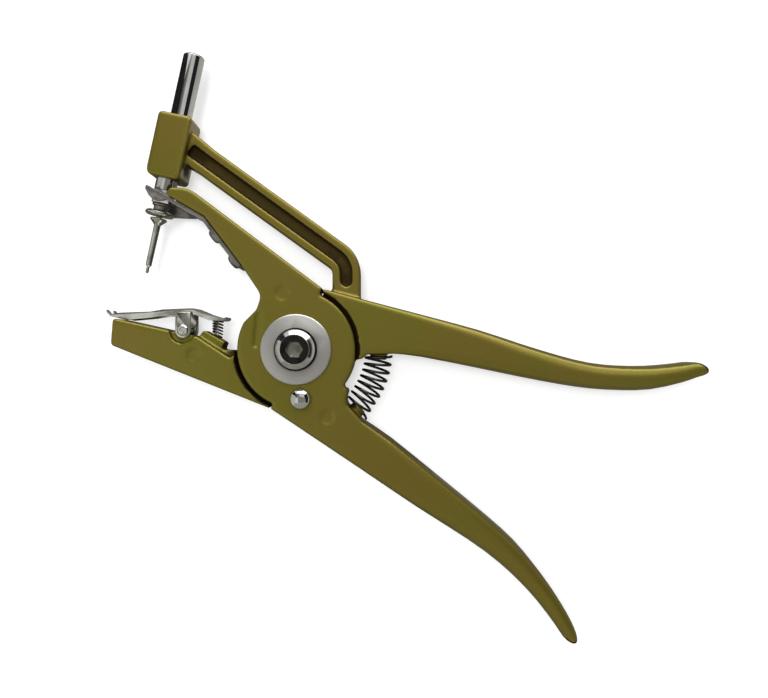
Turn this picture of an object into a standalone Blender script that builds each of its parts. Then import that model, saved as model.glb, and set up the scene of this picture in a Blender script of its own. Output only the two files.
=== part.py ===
# Ear tag applicator: cast pliers that drive a needle straight through an ear.
#
# Two castings share a half-lap hub. The frame casting carries the lower jaw, the
# upper handle and an arched arm with a guide block. The drive casting carries the
# upper jaw and the lower handle. A forked plate on the drive jaw pushes a sliding
# rod, whose needle drops square onto the lower jaw, where a sprung clip holds the tag.
#
# The tool lies on its back: +X runs along the upper handle, +Z is out of the front
# face, and the origin is on the pivot axis at the back of the pivot nut.
# Lengths are in metres. Points called (p, q) are in the jaw frame, whose q axis runs
# up the needle and whose p axis runs square to it, away from the jaw tips.

import math

import bmesh
import bpy
from mathutils import Matrix, Vector

# Overall sizes of the two castings
CASTING_THICKNESS = 0.018
HUB_RADIUS = 0.0246
HUB_RUN_GAP = 0.0014
LAP_GAP = 0.0004
EDGE_ROUND = 0.0009
GRIP_ROUND = 0.0042
SEAT_GAP = 0.0003
STOP_GAP = 0.0004
OVERRUN = 0.003
ROUND_STEPS = 2

# Motion
SQUEEZE_ANGLE = 21.0
CLIP_ANGLE = 9.0

# Shoulders that stop the levers when they open
UPPER_SHOULDER_ANGLE = 66.3
UPPER_SHOULDER_RADIUS = 0.0275
LOWER_SHOULDER_ANGLE = -114.0
LOWER_SHOULDER_RADIUS = 0.0268

# Pivot stack
BARREL_RADIUS = 0.0055
BOLT_SHANK_RADIUS = 0.0038
BOLT_HEAD_RADIUS = 0.00895
BOLT_HEAD_HEIGHT = 0.0046
BOLT_HEAD_CHAMFER = 0.0026
SOCKET_ACROSS_FLATS = 0.006
SOCKET_DEPTH = 0.003
THREAD_LENGTH = 0.013
NUT_HEAD_RADIUS = 0.00895
NUT_HEAD_HEIGHT = 0.0022
NUT_HEAD_CHAMFER = 0.0008
WASHER_RADIUS = 0.0146
WASHER_THICKNESS = 0.0015
WASHER_CHAMFER = 0.0004
THRUST_WASHER_RADIUS = 0.0115
THRUST_WASHER_THICKNESS = 0.0010

# Stop pin in its arc slot
STOP_PIN_RADIUS = 0.0022
STOP_PIN_ORBIT = 0.0205
STOP_PIN_ANGLE = -85.0
STOP_PIN_HEAD_RADIUS = 0.00445
STOP_PIN_HEAD_HEIGHT = 0.0040
STOP_SLOT_DEPTH = 0.0045

# Needle line, rod and needle
NEEDLE_TILT = 12.4
NEEDLE_OFFSET = 0.0697
ROD_RADIUS = 0.0045
ROD_LENGTH = 0.0587
ROD_CHAMFER = 0.0006
NECK_ACROSS_FLATS = 0.0060
NECK_ABOVE = 0.0024
NECK_BELOW = 0.0030
HOLDER_FLANGE_RADIUS = 0.0039
HOLDER_FLANGE_HEIGHT = 0.0008
HOLDER_NECK_RADIUS = 0.0031
HOLDER_HEIGHT = 0.0028
HOLDER_STUD_RADIUS = 0.0018
HOLDER_STUD_LENGTH = 0.0080
HOLDER_COLLAR_RADIUS = 0.0061
HOLDER_COLLAR_HEIGHT = 0.0021
COLLAR_RADIUS = 0.0035
COLLAR_HEIGHT = 0.0012
COLLAR_CONE_HEIGHT = 0.0018
COLLAR_SPACE = 0.0009
NEEDLE_RADIUS = 0.00125
NEEDLE_LENGTH = 0.0180
NEEDLE_TIP_RADIUS = 0.00065
NEEDLE_TIP_LENGTH = 0.0030
STUB_RADIUS = 0.0012
STUB_DEPTH = 0.0024

# Fork plate under the drive jaw
FORK_HEIGHT = 0.0510
FORK_TILT = 17.4
FORK_HEEL_SLOPE = 40.5
FORK_THICKNESS = 0.0015
FORK_FLANGE_DEPTH = 0.0057
FORK_FLANGE_SHARES = ((0.04, 0.05), (0.20, 0.66), (0.385, 1.0), (0.77, 0.05))
FORK_LIP_DEPTH = 0.0025
FORK_LIP_SHARES = (
    (0.01, 0.1),
    (0.056, 0.42),
    (0.11, 0.81),
    (0.165, 0.97),
    (0.215, 1.0),
    (0.27, 0.8),
    (0.36, 0.1),
)
FORK_LEAD = 0.0061
FORK_END_LEG = 0.0272
FORK_HEEL_LEG = 0.0249
FORK_SLOT_WIDTH = 0.0066
JAW_SLOT_WIDTH = 0.0100
ROD_SIDE_ROOM = 0.0005
SCREW_RADIUS = 0.0019
SCREW_HEAD_RADIUS = 0.00335
SCREW_HEAD_HEIGHT = 0.0016
SCREW_DEPTH = 0.0070
SCREW_PLACE_SHARES = (0.29, 0.83)
SCREW_FLAT_SHARE = 0.35

# Drive jaw above the fork plate
DRIVE_JAW_DEPTH = 0.0037
DRIVE_JAW_END_DEPTH = 0.0034
DRIVE_JAW_TIP_SETBACK = 0.0029
DRIVE_JAW_KNUCKLE = 0.0072

# Guide block and arched arm
BLOCK_WIDTH = 0.0142
BLOCK_TOP = 0.0848
BLOCK_BOTTOM = 0.0579
BLOCK_CORNER = 0.0017
BLOCK_NOSE_CORNER = 0.0026
ARM_WIDTH = 0.0118
ARM_ROOT_WIDTH = 0.0138
ARM_THICKNESS = 0.0100
ARM_EDGE = 0.0009
ARM_BEND = 0.0093
ARM_KNEE_X = 0.0206
ARM_KNEE_Y = 0.0365
ARM_BLOCK_HEIGHT = 0.0725
ARM_CHANNEL_WIDTH = 0.0050
ARM_CHANNEL_DEPTH = 0.0032
ARM_CHANNEL_END_Y = 0.0262
ARM_FLARE_SHARE = 0.75
ARM_FOOT_SHARE = 0.7

# Lower jaw
JAW_REACH = 0.0771
JAW_TOP_DROP = 0.0035
JAW_TIP_DEPTH = 0.0112
JAW_TIP_RAKE = 0.0016
JAW_CORNER = 0.0012
JAW_HEEL_START = 0.0411
JAW_HEEL_SLOPE = 21.0
JAW_HEEL_END = 0.0262
WEB_THICKNESS = 0.0100
BOSS_LENGTH = 0.0108
BOSS_HEIGHT = 0.0033
BOSS_SLOPE = 17.3
TAG_SLOT_LENGTH = 0.0125
TAG_SLOT_WIDTH = 0.0085
TAG_SLOT_SETBACK = 0.0020
CORE_SLOT_LENGTH = 0.0080
CORE_SLOT_WIDTH = 0.0050
CORE_SLOT_DEPTH = 0.0040
CORE_SLOT_SETBACK = 0.0390

# Tag clip, in a frame at its pivot with world directions
CLIP_PIVOT_SETBACK = 0.0478
CLIP_PIVOT_RISE = 0.0012
CLIP_PIN_RADIUS = 0.0015
CLIP_PIN_HEAD_RADIUS = 0.0023
CLIP_PIN_HEAD_HEIGHT = 0.0007
SCALLOP_RADIUS = 0.0054
EAR_SPACING = 0.0130
EAR_WIDTH = 0.0065
CLIP_SHEET = 0.0010
CLIP_HEIGHT = 0.0092
CLIP_OVERHANG = 0.0029
CLIP_FRONT = JAW_REACH - CLIP_PIVOT_SETBACK + CLIP_OVERHANG
CLIP_TAIL = 0.0176
CLIP_WIDTH = 0.0120
CLIP_FLANGE = 0.0026
CLIP_LIP_RISE = 0.0021
PRONG_SLOT_WIDTH = 0.0054
PRONG_SLOT_LENGTH = 0.0184

# Springs
MAIN_SPRING_ORBIT = 0.0342
MAIN_SPRING_RADIUS = 0.0060
MAIN_SPRING_DRIFT = 0.0014
MAIN_SPRING_WIRE = 0.0013
MAIN_SPRING_TURNS = 8
MAIN_SPRING_TOP_ANGLE = -2.5
MAIN_SPRING_FOOT_ANGLE = -47.4
MAIN_SPRING_DRIFT_SHARE = 0.25
MAIN_SPRING_SEAT_REACH = 0.0066
SPRING_PEG_RADIUS = 0.0034
SPRING_PEG_HEIGHT = 0.0028
CLIP_SPRING_RADIUS = 0.0025
CLIP_SPRING_WIRE = 0.0006
CLIP_SPRING_TURNS = 5
CLIP_SPRING_FOOT_SHARE = 0.50
CLIP_SPRING_TAIL_SHARE = 0.76
CLIP_PEG_RADIUS = 0.0011
CLIP_PEG_HEIGHT = 0.0012
POINTS_PER_TURN = 9

# Shallow marks of the mould on the front faces
GROOVE_RADIUS = 0.0013
GROOVE_DEPTH = 0.0008
GROOVE_SHARES = ((-0.634, 0.589), (-0.675, 0.081))
EJECTOR_RADIUS = 0.0031
EJECTOR_DEPTH = 0.0004
DRIVE_EJECTOR_SHARES = ((-0.236, 0.947), (0.520, -1.134))
FRAME_EJECTOR_SHARES = ((-1.711, -0.093),)

# Handles: shares of each handle's length, as (along, inner edge, outer edge)
UPPER_HANDLE_LENGTH = 0.1740
UPPER_HANDLE_ANGLE = 0.0
UPPER_HANDLE_SHARES = (
    (0.297, -0.0175, 0.084),
    (0.436, -0.045, 0.047),
    (0.537, -0.066, 0.014),
    (0.633, -0.084, -0.015),
    (0.705, -0.094, -0.032),
    (0.777, -0.098, -0.039),
    (0.849, -0.096, -0.040),
    (0.921, -0.080, -0.034),
    (0.965, -0.066, -0.029),
    (0.991, -0.058, -0.037),
)
UPPER_TIP_SHARE = (1.0, -0.048)
LOWER_HANDLE_LENGTH = 0.1705
LOWER_HANDLE_ANGLE = -46.0
LOWER_HANDLE_SHARES = (
    (0.321, 0.012, -0.090),
    (0.478, 0.032, -0.0575),
    (0.625, 0.049, -0.023),
    (0.716, 0.055, -0.0076),
    (0.791, 0.050, -0.003),
    (0.855, 0.042, -0.005),
    (0.920, 0.028, -0.013),
    (0.964, 0.014, -0.022),
    (0.990, 0.001, -0.020),
)
LOWER_TIP_SHARE = (1.0, -0.011)
GRIP_START_SHARE = 0.12
GRIP_FULL_SHARE = 0.60
GRIP_ROUND_SHARE = 0.40
TIP_ROUND_SHARE = 0.35

# Levels that follow from the pivot stack
BACK_Z = NUT_HEAD_HEIGHT + SEAT_GAP + WASHER_THICKNESS + SEAT_GAP
FRONT_Z = BACK_Z + CASTING_THICKNESS
MID_Z = BACK_Z + CASTING_THICKNESS / 2
REAR_LAP_Z = MID_Z - LAP_GAP / 2
FRONT_LAP_Z = MID_Z + LAP_GAP / 2
FRONT_WASHER_Z = FRONT_Z + SEAT_GAP
BOLT_HEAD_Z = FRONT_WASHER_Z + WASHER_THICKNESS + SEAT_GAP
LAP_RADIUS = HUB_RADIUS + HUB_RUN_GAP
ROUND_SEGMENTS = 40
SMALL_SEGMENTS = 20


def jaw_xy(p, q):
    """World X and Y of a point of the jaw frame."""
    tilt = math.radians(NEEDLE_TILT)
    x = p * math.cos(tilt) + q * math.sin(tilt)
    y = q * math.cos(tilt) - p * math.sin(tilt)
    return (x, y)


def polar(radius, degrees):
    """Point at a radius and an angle round the pivot."""
    angle = math.radians(degrees)
    return (radius * math.cos(angle), radius * math.sin(angle))


def turn_point(point, degrees):
    """A point turned round the origin."""
    angle = math.radians(degrees)
    x = point[0] * math.cos(angle) - point[1] * math.sin(angle)
    y = point[0] * math.sin(angle) + point[1] * math.cos(angle)
    return (x, y)


def along(point, direction, distance):
    """A point moved by a distance in a unit direction."""
    return (point[0] + direction[0] * distance, point[1] + direction[1] * distance)


def arc(centre, radius, start, end, steps):
    """Points on an arc, with both ends."""
    points = []
    for step in range(steps + 1):
        angle = math.radians(start + (end - start) * step / steps)
        points.append((centre[0] + radius * math.cos(angle), centre[1] + radius * math.sin(angle)))
    return points


def fillet(before, corner, after, radius, steps=4):
    """Arc that replaces a corner of an outline."""
    start = Vector((before[0] - corner[0], before[1] - corner[1]))
    end = Vector((after[0] - corner[0], after[1] - corner[1]))
    half = start.angle(end) / 2
    reach = min(radius / math.tan(half), start.length / 2, end.length / 2)
    first = Vector(corner) + start.normalized() * reach
    last = Vector(corner) + end.normalized() * reach
    centre = Vector(corner) + (start.normalized() + end.normalized()).normalized() * reach / math.cos(half)
    sweep = (first - centre).angle_signed(last - centre)
    points = []
    for step in range(steps + 1):
        spoke = (first - centre).copy()
        spoke.rotate(Matrix.Rotation(-sweep * step / steps, 2))
        points.append(tuple(centre + spoke))
    return points


def rounded(points, radii):
    """Closed outline with a fillet at each corner whose radius isn't zero."""
    outline = []
    for index, corner in enumerate(points):
        radius = radii[index] if isinstance(radii, (list, tuple)) else radii
        before = points[index - 1]
        after = points[(index + 1) % len(points)]
        if radius:
            outline.extend(fillet(before, corner, after, radius))
        else:
            outline.append(corner)
    return outline


def smooth_run(points, steps):
    """Open run of points on a smooth curve through the given points."""
    run = []
    for index in range(len(points) - 1):
        before = Vector(points[max(index - 1, 0)])
        start = Vector(points[index])
        end = Vector(points[index + 1])
        after = Vector(points[min(index + 2, len(points) - 1)])
        for step in range(steps):
            t = step / steps
            a = 2 * start + (end - before) * t
            b = (2 * before - 5 * start + 4 * end - after) * t * t
            c = (3 * start - before - 3 * end + after) * t * t * t
            run.append(tuple((a + b + c) / 2))
    run.append(tuple(points[-1]))
    return run


def strip_outline(path, half_width, root_half_width=0):
    """Closed outline of a strip along an open path, whose first end may be wider."""
    left = []
    right = []
    widths = [root_half_width or half_width] + [half_width] * (len(path) - 1)
    for index, point in enumerate(path):
        before = Vector(path[max(index - 1, 0)])
        after = Vector(path[min(index + 1, len(path) - 1)])
        into = (Vector(point) - before).normalized()
        out = (after - Vector(point)).normalized()
        if index == 0:
            into = out
        if index == len(path) - 1:
            out = into
        direction = (into + out).normalized()
        reach = widths[index] / max(direction.dot(into), 0.5)
        normal = Vector((-direction.y, direction.x))
        left.append(tuple(Vector(point) + normal * reach))
        right.append(tuple(Vector(point) - normal * reach))
    return left + right[::-1]


def inward_normals(outline):
    """Mitred unit offsets that point into a closed outline."""
    count = len(outline)
    area = 0.0
    for index in range(count):
        x1, y1 = outline[index]
        x2, y2 = outline[(index + 1) % count]
        area += x1 * y2 - x2 * y1
    side = 1 if area > 0 else -1
    normals = []
    for index in range(count):
        before = Vector(outline[index - 1])
        here = Vector(outline[index])
        after = Vector(outline[(index + 1) % count])
        into = (here - before).normalized()
        out = (after - here).normalized()
        direction = (into + out).normalized()
        reach = 1 / max(direction.dot(into), 0.6)
        normals.append(Vector((-direction.y, direction.x)) * side * reach)
    return normals


def mesh_object(name, bm):
    """Object made from a bmesh, with its faces pointing out."""
    bmesh.ops.recalc_face_normals(bm, faces=bm.faces)
    mesh = bpy.data.meshes.new(name)
    bm.to_mesh(mesh)
    bm.free()
    obj = bpy.data.objects.new(name, mesh)
    bpy.context.scene.collection.objects.link(obj)
    return obj


def stack_rings(name, rings):
    """Closed solid from rings of equally many points, with flat caps."""
    bm = bmesh.new()
    rows = [[bm.verts.new(point) for point in ring] for ring in rings]
    count = len(rows[0])
    for low, high in zip(rows, rows[1:]):
        for index in range(count):
            nxt = (index + 1) % count
            bm.faces.new((low[index], low[nxt], high[nxt], high[index]))
    bm.faces.new(rows[0])
    bm.faces.new(rows[-1])
    return mesh_object(name, bm)


def prism(name, outline, low, high):
    """Straight extrusion of an outline between two levels."""
    rings = []
    for level in (low, high):
        rings.append([(x, y, level) for x, y in outline])
    return stack_rings(name, rings)


def cast_plate(name, outline, low, high, rounds):
    """Extrusion whose upper and lower edges are rounded, with a radius for each point."""
    if isinstance(rounds, float):
        rounds = [rounds] * len(outline)
    normals = inward_normals(outline)
    profile = []
    for step in range(ROUND_STEPS + 1):
        angle = math.radians(90) * step / ROUND_STEPS
        profile.append((1 - math.sin(angle), 1 - math.cos(angle)))
    rings = []
    for inset, rise in profile:
        rings.append(offset_ring(outline, normals, rounds, inset, rise, low, 1))
    for inset, rise in profile[::-1]:
        rings.append(offset_ring(outline, normals, rounds, inset, rise, high, -1))
    return stack_rings(name, rings)


def offset_ring(outline, normals, rounds, inset, rise, level, side):
    """One ring of a rounded edge, moved in and up by shares of each point's radius."""
    ring = []
    for (x, y), normal, radius in zip(outline, normals, rounds):
        ring.append((x + normal.x * radius * inset, y + normal.y * radius * inset, level + side * radius * rise))
    return ring


def turned(name, profile, segments, matrix):
    """Solid of revolution from (radius, height) points that start and end on its axis."""
    bm = bmesh.new()
    verts = [bm.verts.new((radius, 0, height)) for radius, height in profile]
    edges = [bm.edges.new(pair) for pair in zip(verts, verts[1:])]
    bmesh.ops.spin(
        bm,
        geom=verts + edges,
        cent=(0, 0, 0),
        axis=(0, 0, 1),
        angle=math.tau,
        steps=segments,
        use_merge=True,
    )
    bmesh.ops.remove_doubles(bm, verts=bm.verts, dist=HUB_RADIUS * MERGE_SHARE)
    bmesh.ops.transform(bm, matrix=matrix, verts=bm.verts)
    return mesh_object(name, bm)


MERGE_SHARE = 0.0002


def ring_profile(inner, outer, low, high, chamfer):
    """Profile of a flat ring whose outer edges are chamfered."""
    return [
        (inner, low),
        (outer - chamfer, low),
        (outer, low + chamfer),
        (outer, high - chamfer),
        (outer - chamfer, high),
        (inner, high),
        (inner, low),
    ]


def plane_frame(x, y, z, direction):
    """Matrix that carries local +Z onto a direction, with local +Y as near to world +Z as it can be."""
    normal = Vector(direction).normalized()
    side = Vector((0, 0, 1)).cross(normal)
    if side.length < MERGE_SHARE:
        return Matrix.Translation((x, y, z))
    side.normalize()
    up = normal.cross(side)
    rotation = Matrix((side, up, normal)).transposed().to_4x4()
    return Matrix.Translation((x, y, z)) @ rotation


def round_bar(name, start, end, radius, segments=SMALL_SEGMENTS):
    """Cylinder between two points."""
    direction = Vector(end) - Vector(start)
    length = direction.length
    profile = [(0, 0), (radius, 0), (radius, length), (0, length)]
    return turned(name, profile, segments, plane_frame(*start, direction))


def capsule(start, end, radius, steps=6):
    """Outline of a slot with round ends."""
    direction = (Vector(end) - Vector(start)).normalized()
    heading = math.degrees(math.atan2(direction.y, direction.x))
    first = arc(start, radius, heading + 90, heading + 270, steps)
    second = arc(end, radius, heading - 90, heading + 90, steps)
    return first + second


def cutter(obj):
    """Mark an object as a tool of another one."""
    obj.hide_render = True
    obj.display_type = "WIRE"
    return obj


def combine(target, tool, operation):
    """Boolean of a target with a hidden tool."""
    modifier = target.modifiers.new(tool.name, "BOOLEAN")
    modifier.operation = operation
    modifier.solver = "EXACT"
    modifier.object = cutter(tool)


def cut(target, tool):
    combine(target, tool, "DIFFERENCE")


def add(target, tool):
    combine(target, tool, "UNION")


def finish(obj, material, smooth_angle=35):
    """Give a piece its material and its shading."""
    obj.data.materials.clear()
    obj.data.materials.append(material)
    if obj.type == "MESH":
        obj.data.shade_smooth()
        obj.data.set_sharp_from_angle(angle=math.radians(smooth_angle))
    return obj


def principled(name, colour, metallic, roughness):
    """Plain material of one colour."""
    material = bpy.data.materials.new(name)
    material.use_nodes = True
    shader = material.node_tree.nodes["Principled BSDF"]
    shader.inputs["Base Color"].default_value = (*colour, 1.0)
    shader.inputs["Metallic"].default_value = metallic
    shader.inputs["Roughness"].default_value = roughness
    material.diffuse_color = (*colour, 1.0)
    return material


# Motion of the fork along the rod


def fork_reach():
    """Distance from the pivot to the middle plane of the fork's end leg."""
    tilt = math.radians(FORK_TILT)
    return FORK_HEIGHT * math.cos(tilt) - NEEDLE_OFFSET * math.sin(tilt)


def fork_height(squeeze):
    """Height on the needle line of the fork's middle plane, at a squeeze in degrees."""
    tilt = math.radians(FORK_TILT - squeeze)
    return (fork_reach() + NEEDLE_OFFSET * math.sin(tilt)) / math.cos(tilt)


def fork_slide(squeeze):
    """How far the rod has moved along the fork towards its bend."""
    start = math.radians(FORK_TILT)
    tilt = math.radians(FORK_TILT - squeeze)
    first = NEEDLE_OFFSET * math.cos(start) + FORK_HEIGHT * math.sin(start)
    last = NEEDLE_OFFSET * math.cos(tilt) + fork_height(squeeze) * math.sin(tilt)
    return first - last


ROD_TRAVEL = fork_height(0) - fork_height(SQUEEZE_ANGLE)
ROD_PER_RADIAN = ROD_TRAVEL / math.radians(SQUEEZE_ANGLE)

# Lines of the drive jaw's underside, in the jaw frame
END_LEG_TILT = math.radians(FORK_TILT)
END_LEG = (math.cos(END_LEG_TILT), -math.sin(END_LEG_TILT))
END_LEG_UP = (math.sin(END_LEG_TILT), math.cos(END_LEG_TILT))
HEEL_LEG_TILT = math.radians(FORK_HEEL_SLOPE)
HEEL_LEG = (math.cos(HEEL_LEG_TILT), -math.sin(HEEL_LEG_TILT))
HEEL_LEG_UP = (math.sin(HEEL_LEG_TILT), math.cos(HEEL_LEG_TILT))
SEAT_OFFSET = FORK_THICKNESS / 2 + SEAT_GAP
FORK_CROSSING = (-NEEDLE_OFFSET, FORK_HEIGHT)
FORK_TIP = along(FORK_CROSSING, END_LEG, -FORK_LEAD)
FORK_BEND = along(FORK_TIP, END_LEG, FORK_END_LEG)
FORK_END = along(FORK_BEND, HEEL_LEG, FORK_HEEL_LEG)
HALF_BEND = math.radians(FORK_HEEL_SLOPE - FORK_TILT) / 2
BEND_UP = (math.sin(END_LEG_TILT + HALF_BEND), math.cos(END_LEG_TILT + HALF_BEND))
JAW_BEND = along(FORK_BEND, BEND_UP, SEAT_OFFSET / math.cos(HALF_BEND))

# Places on the lower jaw
JAW_TOP = -JAW_TOP_DROP
CLIP_PIVOT = jaw_xy(-CLIP_PIVOT_SETBACK, JAW_TOP + CLIP_PIVOT_RISE)


def handle_points(shares, tip_share, length, angle, side):
    """Edge of a handle from its root to just before its tip, with rounding radii."""
    rows = []
    for row in shares:
        width = abs(row[1] - row[2]) * length
        grip = (row[0] - GRIP_START_SHARE) / (GRIP_FULL_SHARE - GRIP_START_SHARE)
        grip = min(max(grip, 0), 1)
        radius = min(EDGE_ROUND + (GRIP_ROUND - EDGE_ROUND) * grip, GRIP_ROUND_SHARE * width)
        point = turn_point((row[0] * length, row[side] * length), angle)
        rows.append((*point, radius))
    return rows


def handle_tip(tip_share, shares, length, angle):
    """End point of a handle with its rounding radius."""
    width = abs(shares[-1][1] - shares[-1][2]) * length
    point = turn_point((tip_share[0] * length, tip_share[1] * length), angle)
    return (*point, width * TIP_ROUND_SHARE)


def handle_run(root_outer, root_inner, shares, tip_share, length, angle):
    """Handle outline from its outer root round the tip to its inner root."""
    outer = handle_points(shares, tip_share, length, angle, 2)
    inner = handle_points(shares, tip_share, length, angle, 1)
    tip = handle_tip(tip_share, shares, length, angle)
    return smooth_run([root_outer] + outer + [tip] + inner[::-1] + [root_inner], 2)


def with_round(points, radius=EDGE_ROUND):
    """Outline points with one rounding radius added to each."""
    return [(x, y, radius) for x, y in points]


def split(outline):
    """Plain points and radii of an outline that carries its radii."""
    return [(x, y) for x, y, radius in outline], [radius for x, y, radius in outline]


def seat_points(angle):
    """Inner and outer end of a flat spring seat on a radial line."""
    inner = polar(MAIN_SPRING_ORBIT - MAIN_SPRING_RADIUS / 2, angle)
    outer = polar(MAIN_SPRING_ORBIT + MAIN_SPRING_SEAT_REACH, angle)
    return inner, outer


def add_spring_peg(casting, name, orbit, seat_angle, heading):
    """Short peg that keeps the end of the main spring on its seat."""
    centre = polar(orbit, seat_angle)
    direction = polar(1, seat_angle + heading)
    start = along(centre, direction, -OVERRUN)
    end = along(centre, direction, SPRING_PEG_HEIGHT)
    add(casting, round_bar(name, (*start, MID_Z), (*end, MID_Z), SPRING_PEG_RADIUS))


def cut_disc_mark(casting, name, centre, radius, depth):
    """Shallow round mark in the front face."""
    bottom = FRONT_Z - depth
    cut(casting, round_bar(name, (*centre, bottom), (*centre, FRONT_Z + OVERRUN), radius))


# The drive casting: upper jaw, front half of the hub, lower handle

STOP_ANGLE = math.degrees(STOP_GAP / 2 / HUB_RADIUS)
LIP_RUN = 2.0
LOWER_LIP_SHARES = ((1.125, 8.6), (1.160, 4.6), (1.210, 1.6))
UPPER_LIP_SHARES = ((1.200, 1.4), (1.125, 4.6), (1.105, 6.2), (1.040, 7.0))
NECK_SHARES = ((-0.805, 0.508), (-0.785, 0.724), (-0.841, 0.830))


def drive_jaw_points():
    """Drive jaw outline in the world, from its root at the hub to the upper shoulder."""
    tip_p = -NEEDLE_OFFSET + DRIVE_JAW_TIP_SETBACK
    seat_start = along(JAW_BEND, END_LEG, (tip_p - JAW_BEND[0]) / END_LEG[0])
    tip_top = along(seat_start, END_LEG_UP, DRIVE_JAW_END_DEPTH)
    knuckle = along(along(seat_start, END_LEG, DRIVE_JAW_KNUCKLE), END_LEG_UP, DRIVE_JAW_DEPTH + DRIVE_JAW_END_DEPTH)
    neck = [(p * HUB_RADIUS, q * HUB_RADIUS) for p, q in NECK_SHARES]
    shoulder = turn_point(polar(UPPER_SHOULDER_RADIUS, UPPER_SHOULDER_ANGLE + STOP_ANGLE), NEEDLE_TILT)
    tip = fillet(JAW_BEND, seat_start, tip_top, EDGE_ROUND * 1.2, 2)
    top = fillet(seat_start, tip_top, knuckle, EDGE_ROUND * 1.5, 3)
    over = fillet(tip_top, knuckle, shoulder, DRIVE_JAW_DEPTH * 3.0, 4)
    inner = smooth_run([neck[0], neck[1], neck[2]], 3)
    seat_end = along(JAW_BEND, HEEL_LEG, FORK_HEEL_LEG + SEAT_GAP)
    points = inner + [seat_end, JAW_BEND] + tip + top + over + [shoulder]
    return [jaw_xy(p, q) for p, q in points]


def drive_outline():
    """Whole outline of the drive casting, clockwise from its upper shoulder."""
    seat_inner, seat_outer = seat_points(MAIN_SPRING_FOOT_ANGLE)
    top = UPPER_SHOULDER_ANGLE + STOP_ANGLE
    lip = [polar(share * HUB_RADIUS, MAIN_SPRING_FOOT_ANGLE + step) for share, step in LOWER_LIP_SHARES]
    lip_foot = MAIN_SPRING_FOOT_ANGLE + LOWER_LIP_SHARES[0][1] + LIP_RUN
    right = arc((0, 0), HUB_RADIUS, top, lip_foot, 14)
    shoulder = polar(LOWER_SHOULDER_RADIUS, LOWER_SHOULDER_ANGLE + STOP_ANGLE)
    handle = handle_run(
        (*shoulder, EDGE_ROUND),
        (*seat_outer, EDGE_ROUND),
        LOWER_HANDLE_SHARES,
        LOWER_TIP_SHARE,
        LOWER_HANDLE_LENGTH,
        LOWER_HANDLE_ANGLE,
    )
    left = arc((0, 0), HUB_RADIUS, LOWER_SHOULDER_ANGLE + STOP_ANGLE, -207, 14)
    outline = with_round(right + lip + [seat_inner])
    outline += handle[::-1]
    outline += with_round(left)
    outline += with_round(drive_jaw_points())
    return outline


def make_drive_casting(material):
    points, rounds = split(drive_outline())
    casting = cast_plate("drive_lever", points, BACK_Z, FRONT_Z, rounds)
    lap = turned(
        "drive_lap_cut",
        [(0, BACK_Z - OVERRUN), (LAP_RADIUS, BACK_Z - OVERRUN), (LAP_RADIUS, FRONT_LAP_Z), (0, FRONT_LAP_Z)],
        ROUND_SEGMENTS * 2,
        Matrix.Identity(4),
    )
    cut(casting, lap)
    bore = BARREL_RADIUS + SEAT_GAP
    cut(casting, round_bar("drive_pivot_bore", (0, 0, MID_Z - OVERRUN), (0, 0, FRONT_Z + OVERRUN), bore, ROUND_SEGMENTS))
    pin = polar(STOP_PIN_ORBIT, STOP_PIN_ANGLE)
    hole = STOP_PIN_RADIUS + SEAT_GAP
    cut(casting, round_bar("stop_pin_bore", (*pin, MID_Z - OVERRUN), (*pin, FRONT_Z + OVERRUN), hole))
    cut(casting, make_jaw_slot())
    for index, place in enumerate(screw_places()):
        start = along(place, HEEL_LEG_UP, -OVERRUN)
        end = along(place, HEEL_LEG_UP, SCREW_DEPTH)
        hole = SCREW_RADIUS + SEAT_GAP
        cut(casting, round_bar(f"screw_hole_{index}", (*jaw_xy(*start), MID_Z), (*jaw_xy(*end), MID_Z), hole))
    groove = capsule(*[(x * HUB_RADIUS, y * HUB_RADIUS) for x, y in GROOVE_SHARES], GROOVE_RADIUS)
    cut(casting, prism("groove_cut", groove, FRONT_Z - GROOVE_DEPTH, FRONT_Z + OVERRUN))
    for index, (x, y) in enumerate(DRIVE_EJECTOR_SHARES):
        centre = (x * HUB_RADIUS, y * HUB_RADIUS)
        cut_disc_mark(casting, f"drive_mark_{index}", centre, EJECTOR_RADIUS, EJECTOR_DEPTH)
    add_spring_peg(casting, "drive_spring_peg", MAIN_SPRING_ORBIT + MAIN_SPRING_DRIFT, MAIN_SPRING_FOOT_ANGLE, 90)
    return finish(casting, material)


def make_jaw_slot():
    """Cutter for the slot between the drive jaw's cheeks, which the rod passes."""
    length = FORK_LEAD + fork_slide(SQUEEZE_ANGLE) + ROD_RADIUS + ROD_SIDE_ROOM
    depth = DRIVE_JAW_DEPTH + DRIVE_JAW_END_DEPTH + OVERRUN
    corners = []
    for step, rise in ((-OVERRUN, -OVERRUN), (length, -OVERRUN), (length, depth), (-OVERRUN, depth)):
        corners.append(jaw_xy(*along(along(FORK_TIP, END_LEG, step), END_LEG_UP, rise)))
    low = MID_Z - JAW_SLOT_WIDTH / 2
    high = MID_Z + JAW_SLOT_WIDTH / 2
    return prism("jaw_slot_cut", corners, low, high)


# The frame casting: lower jaw, rear half of the hub, upper handle, arm and block


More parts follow.
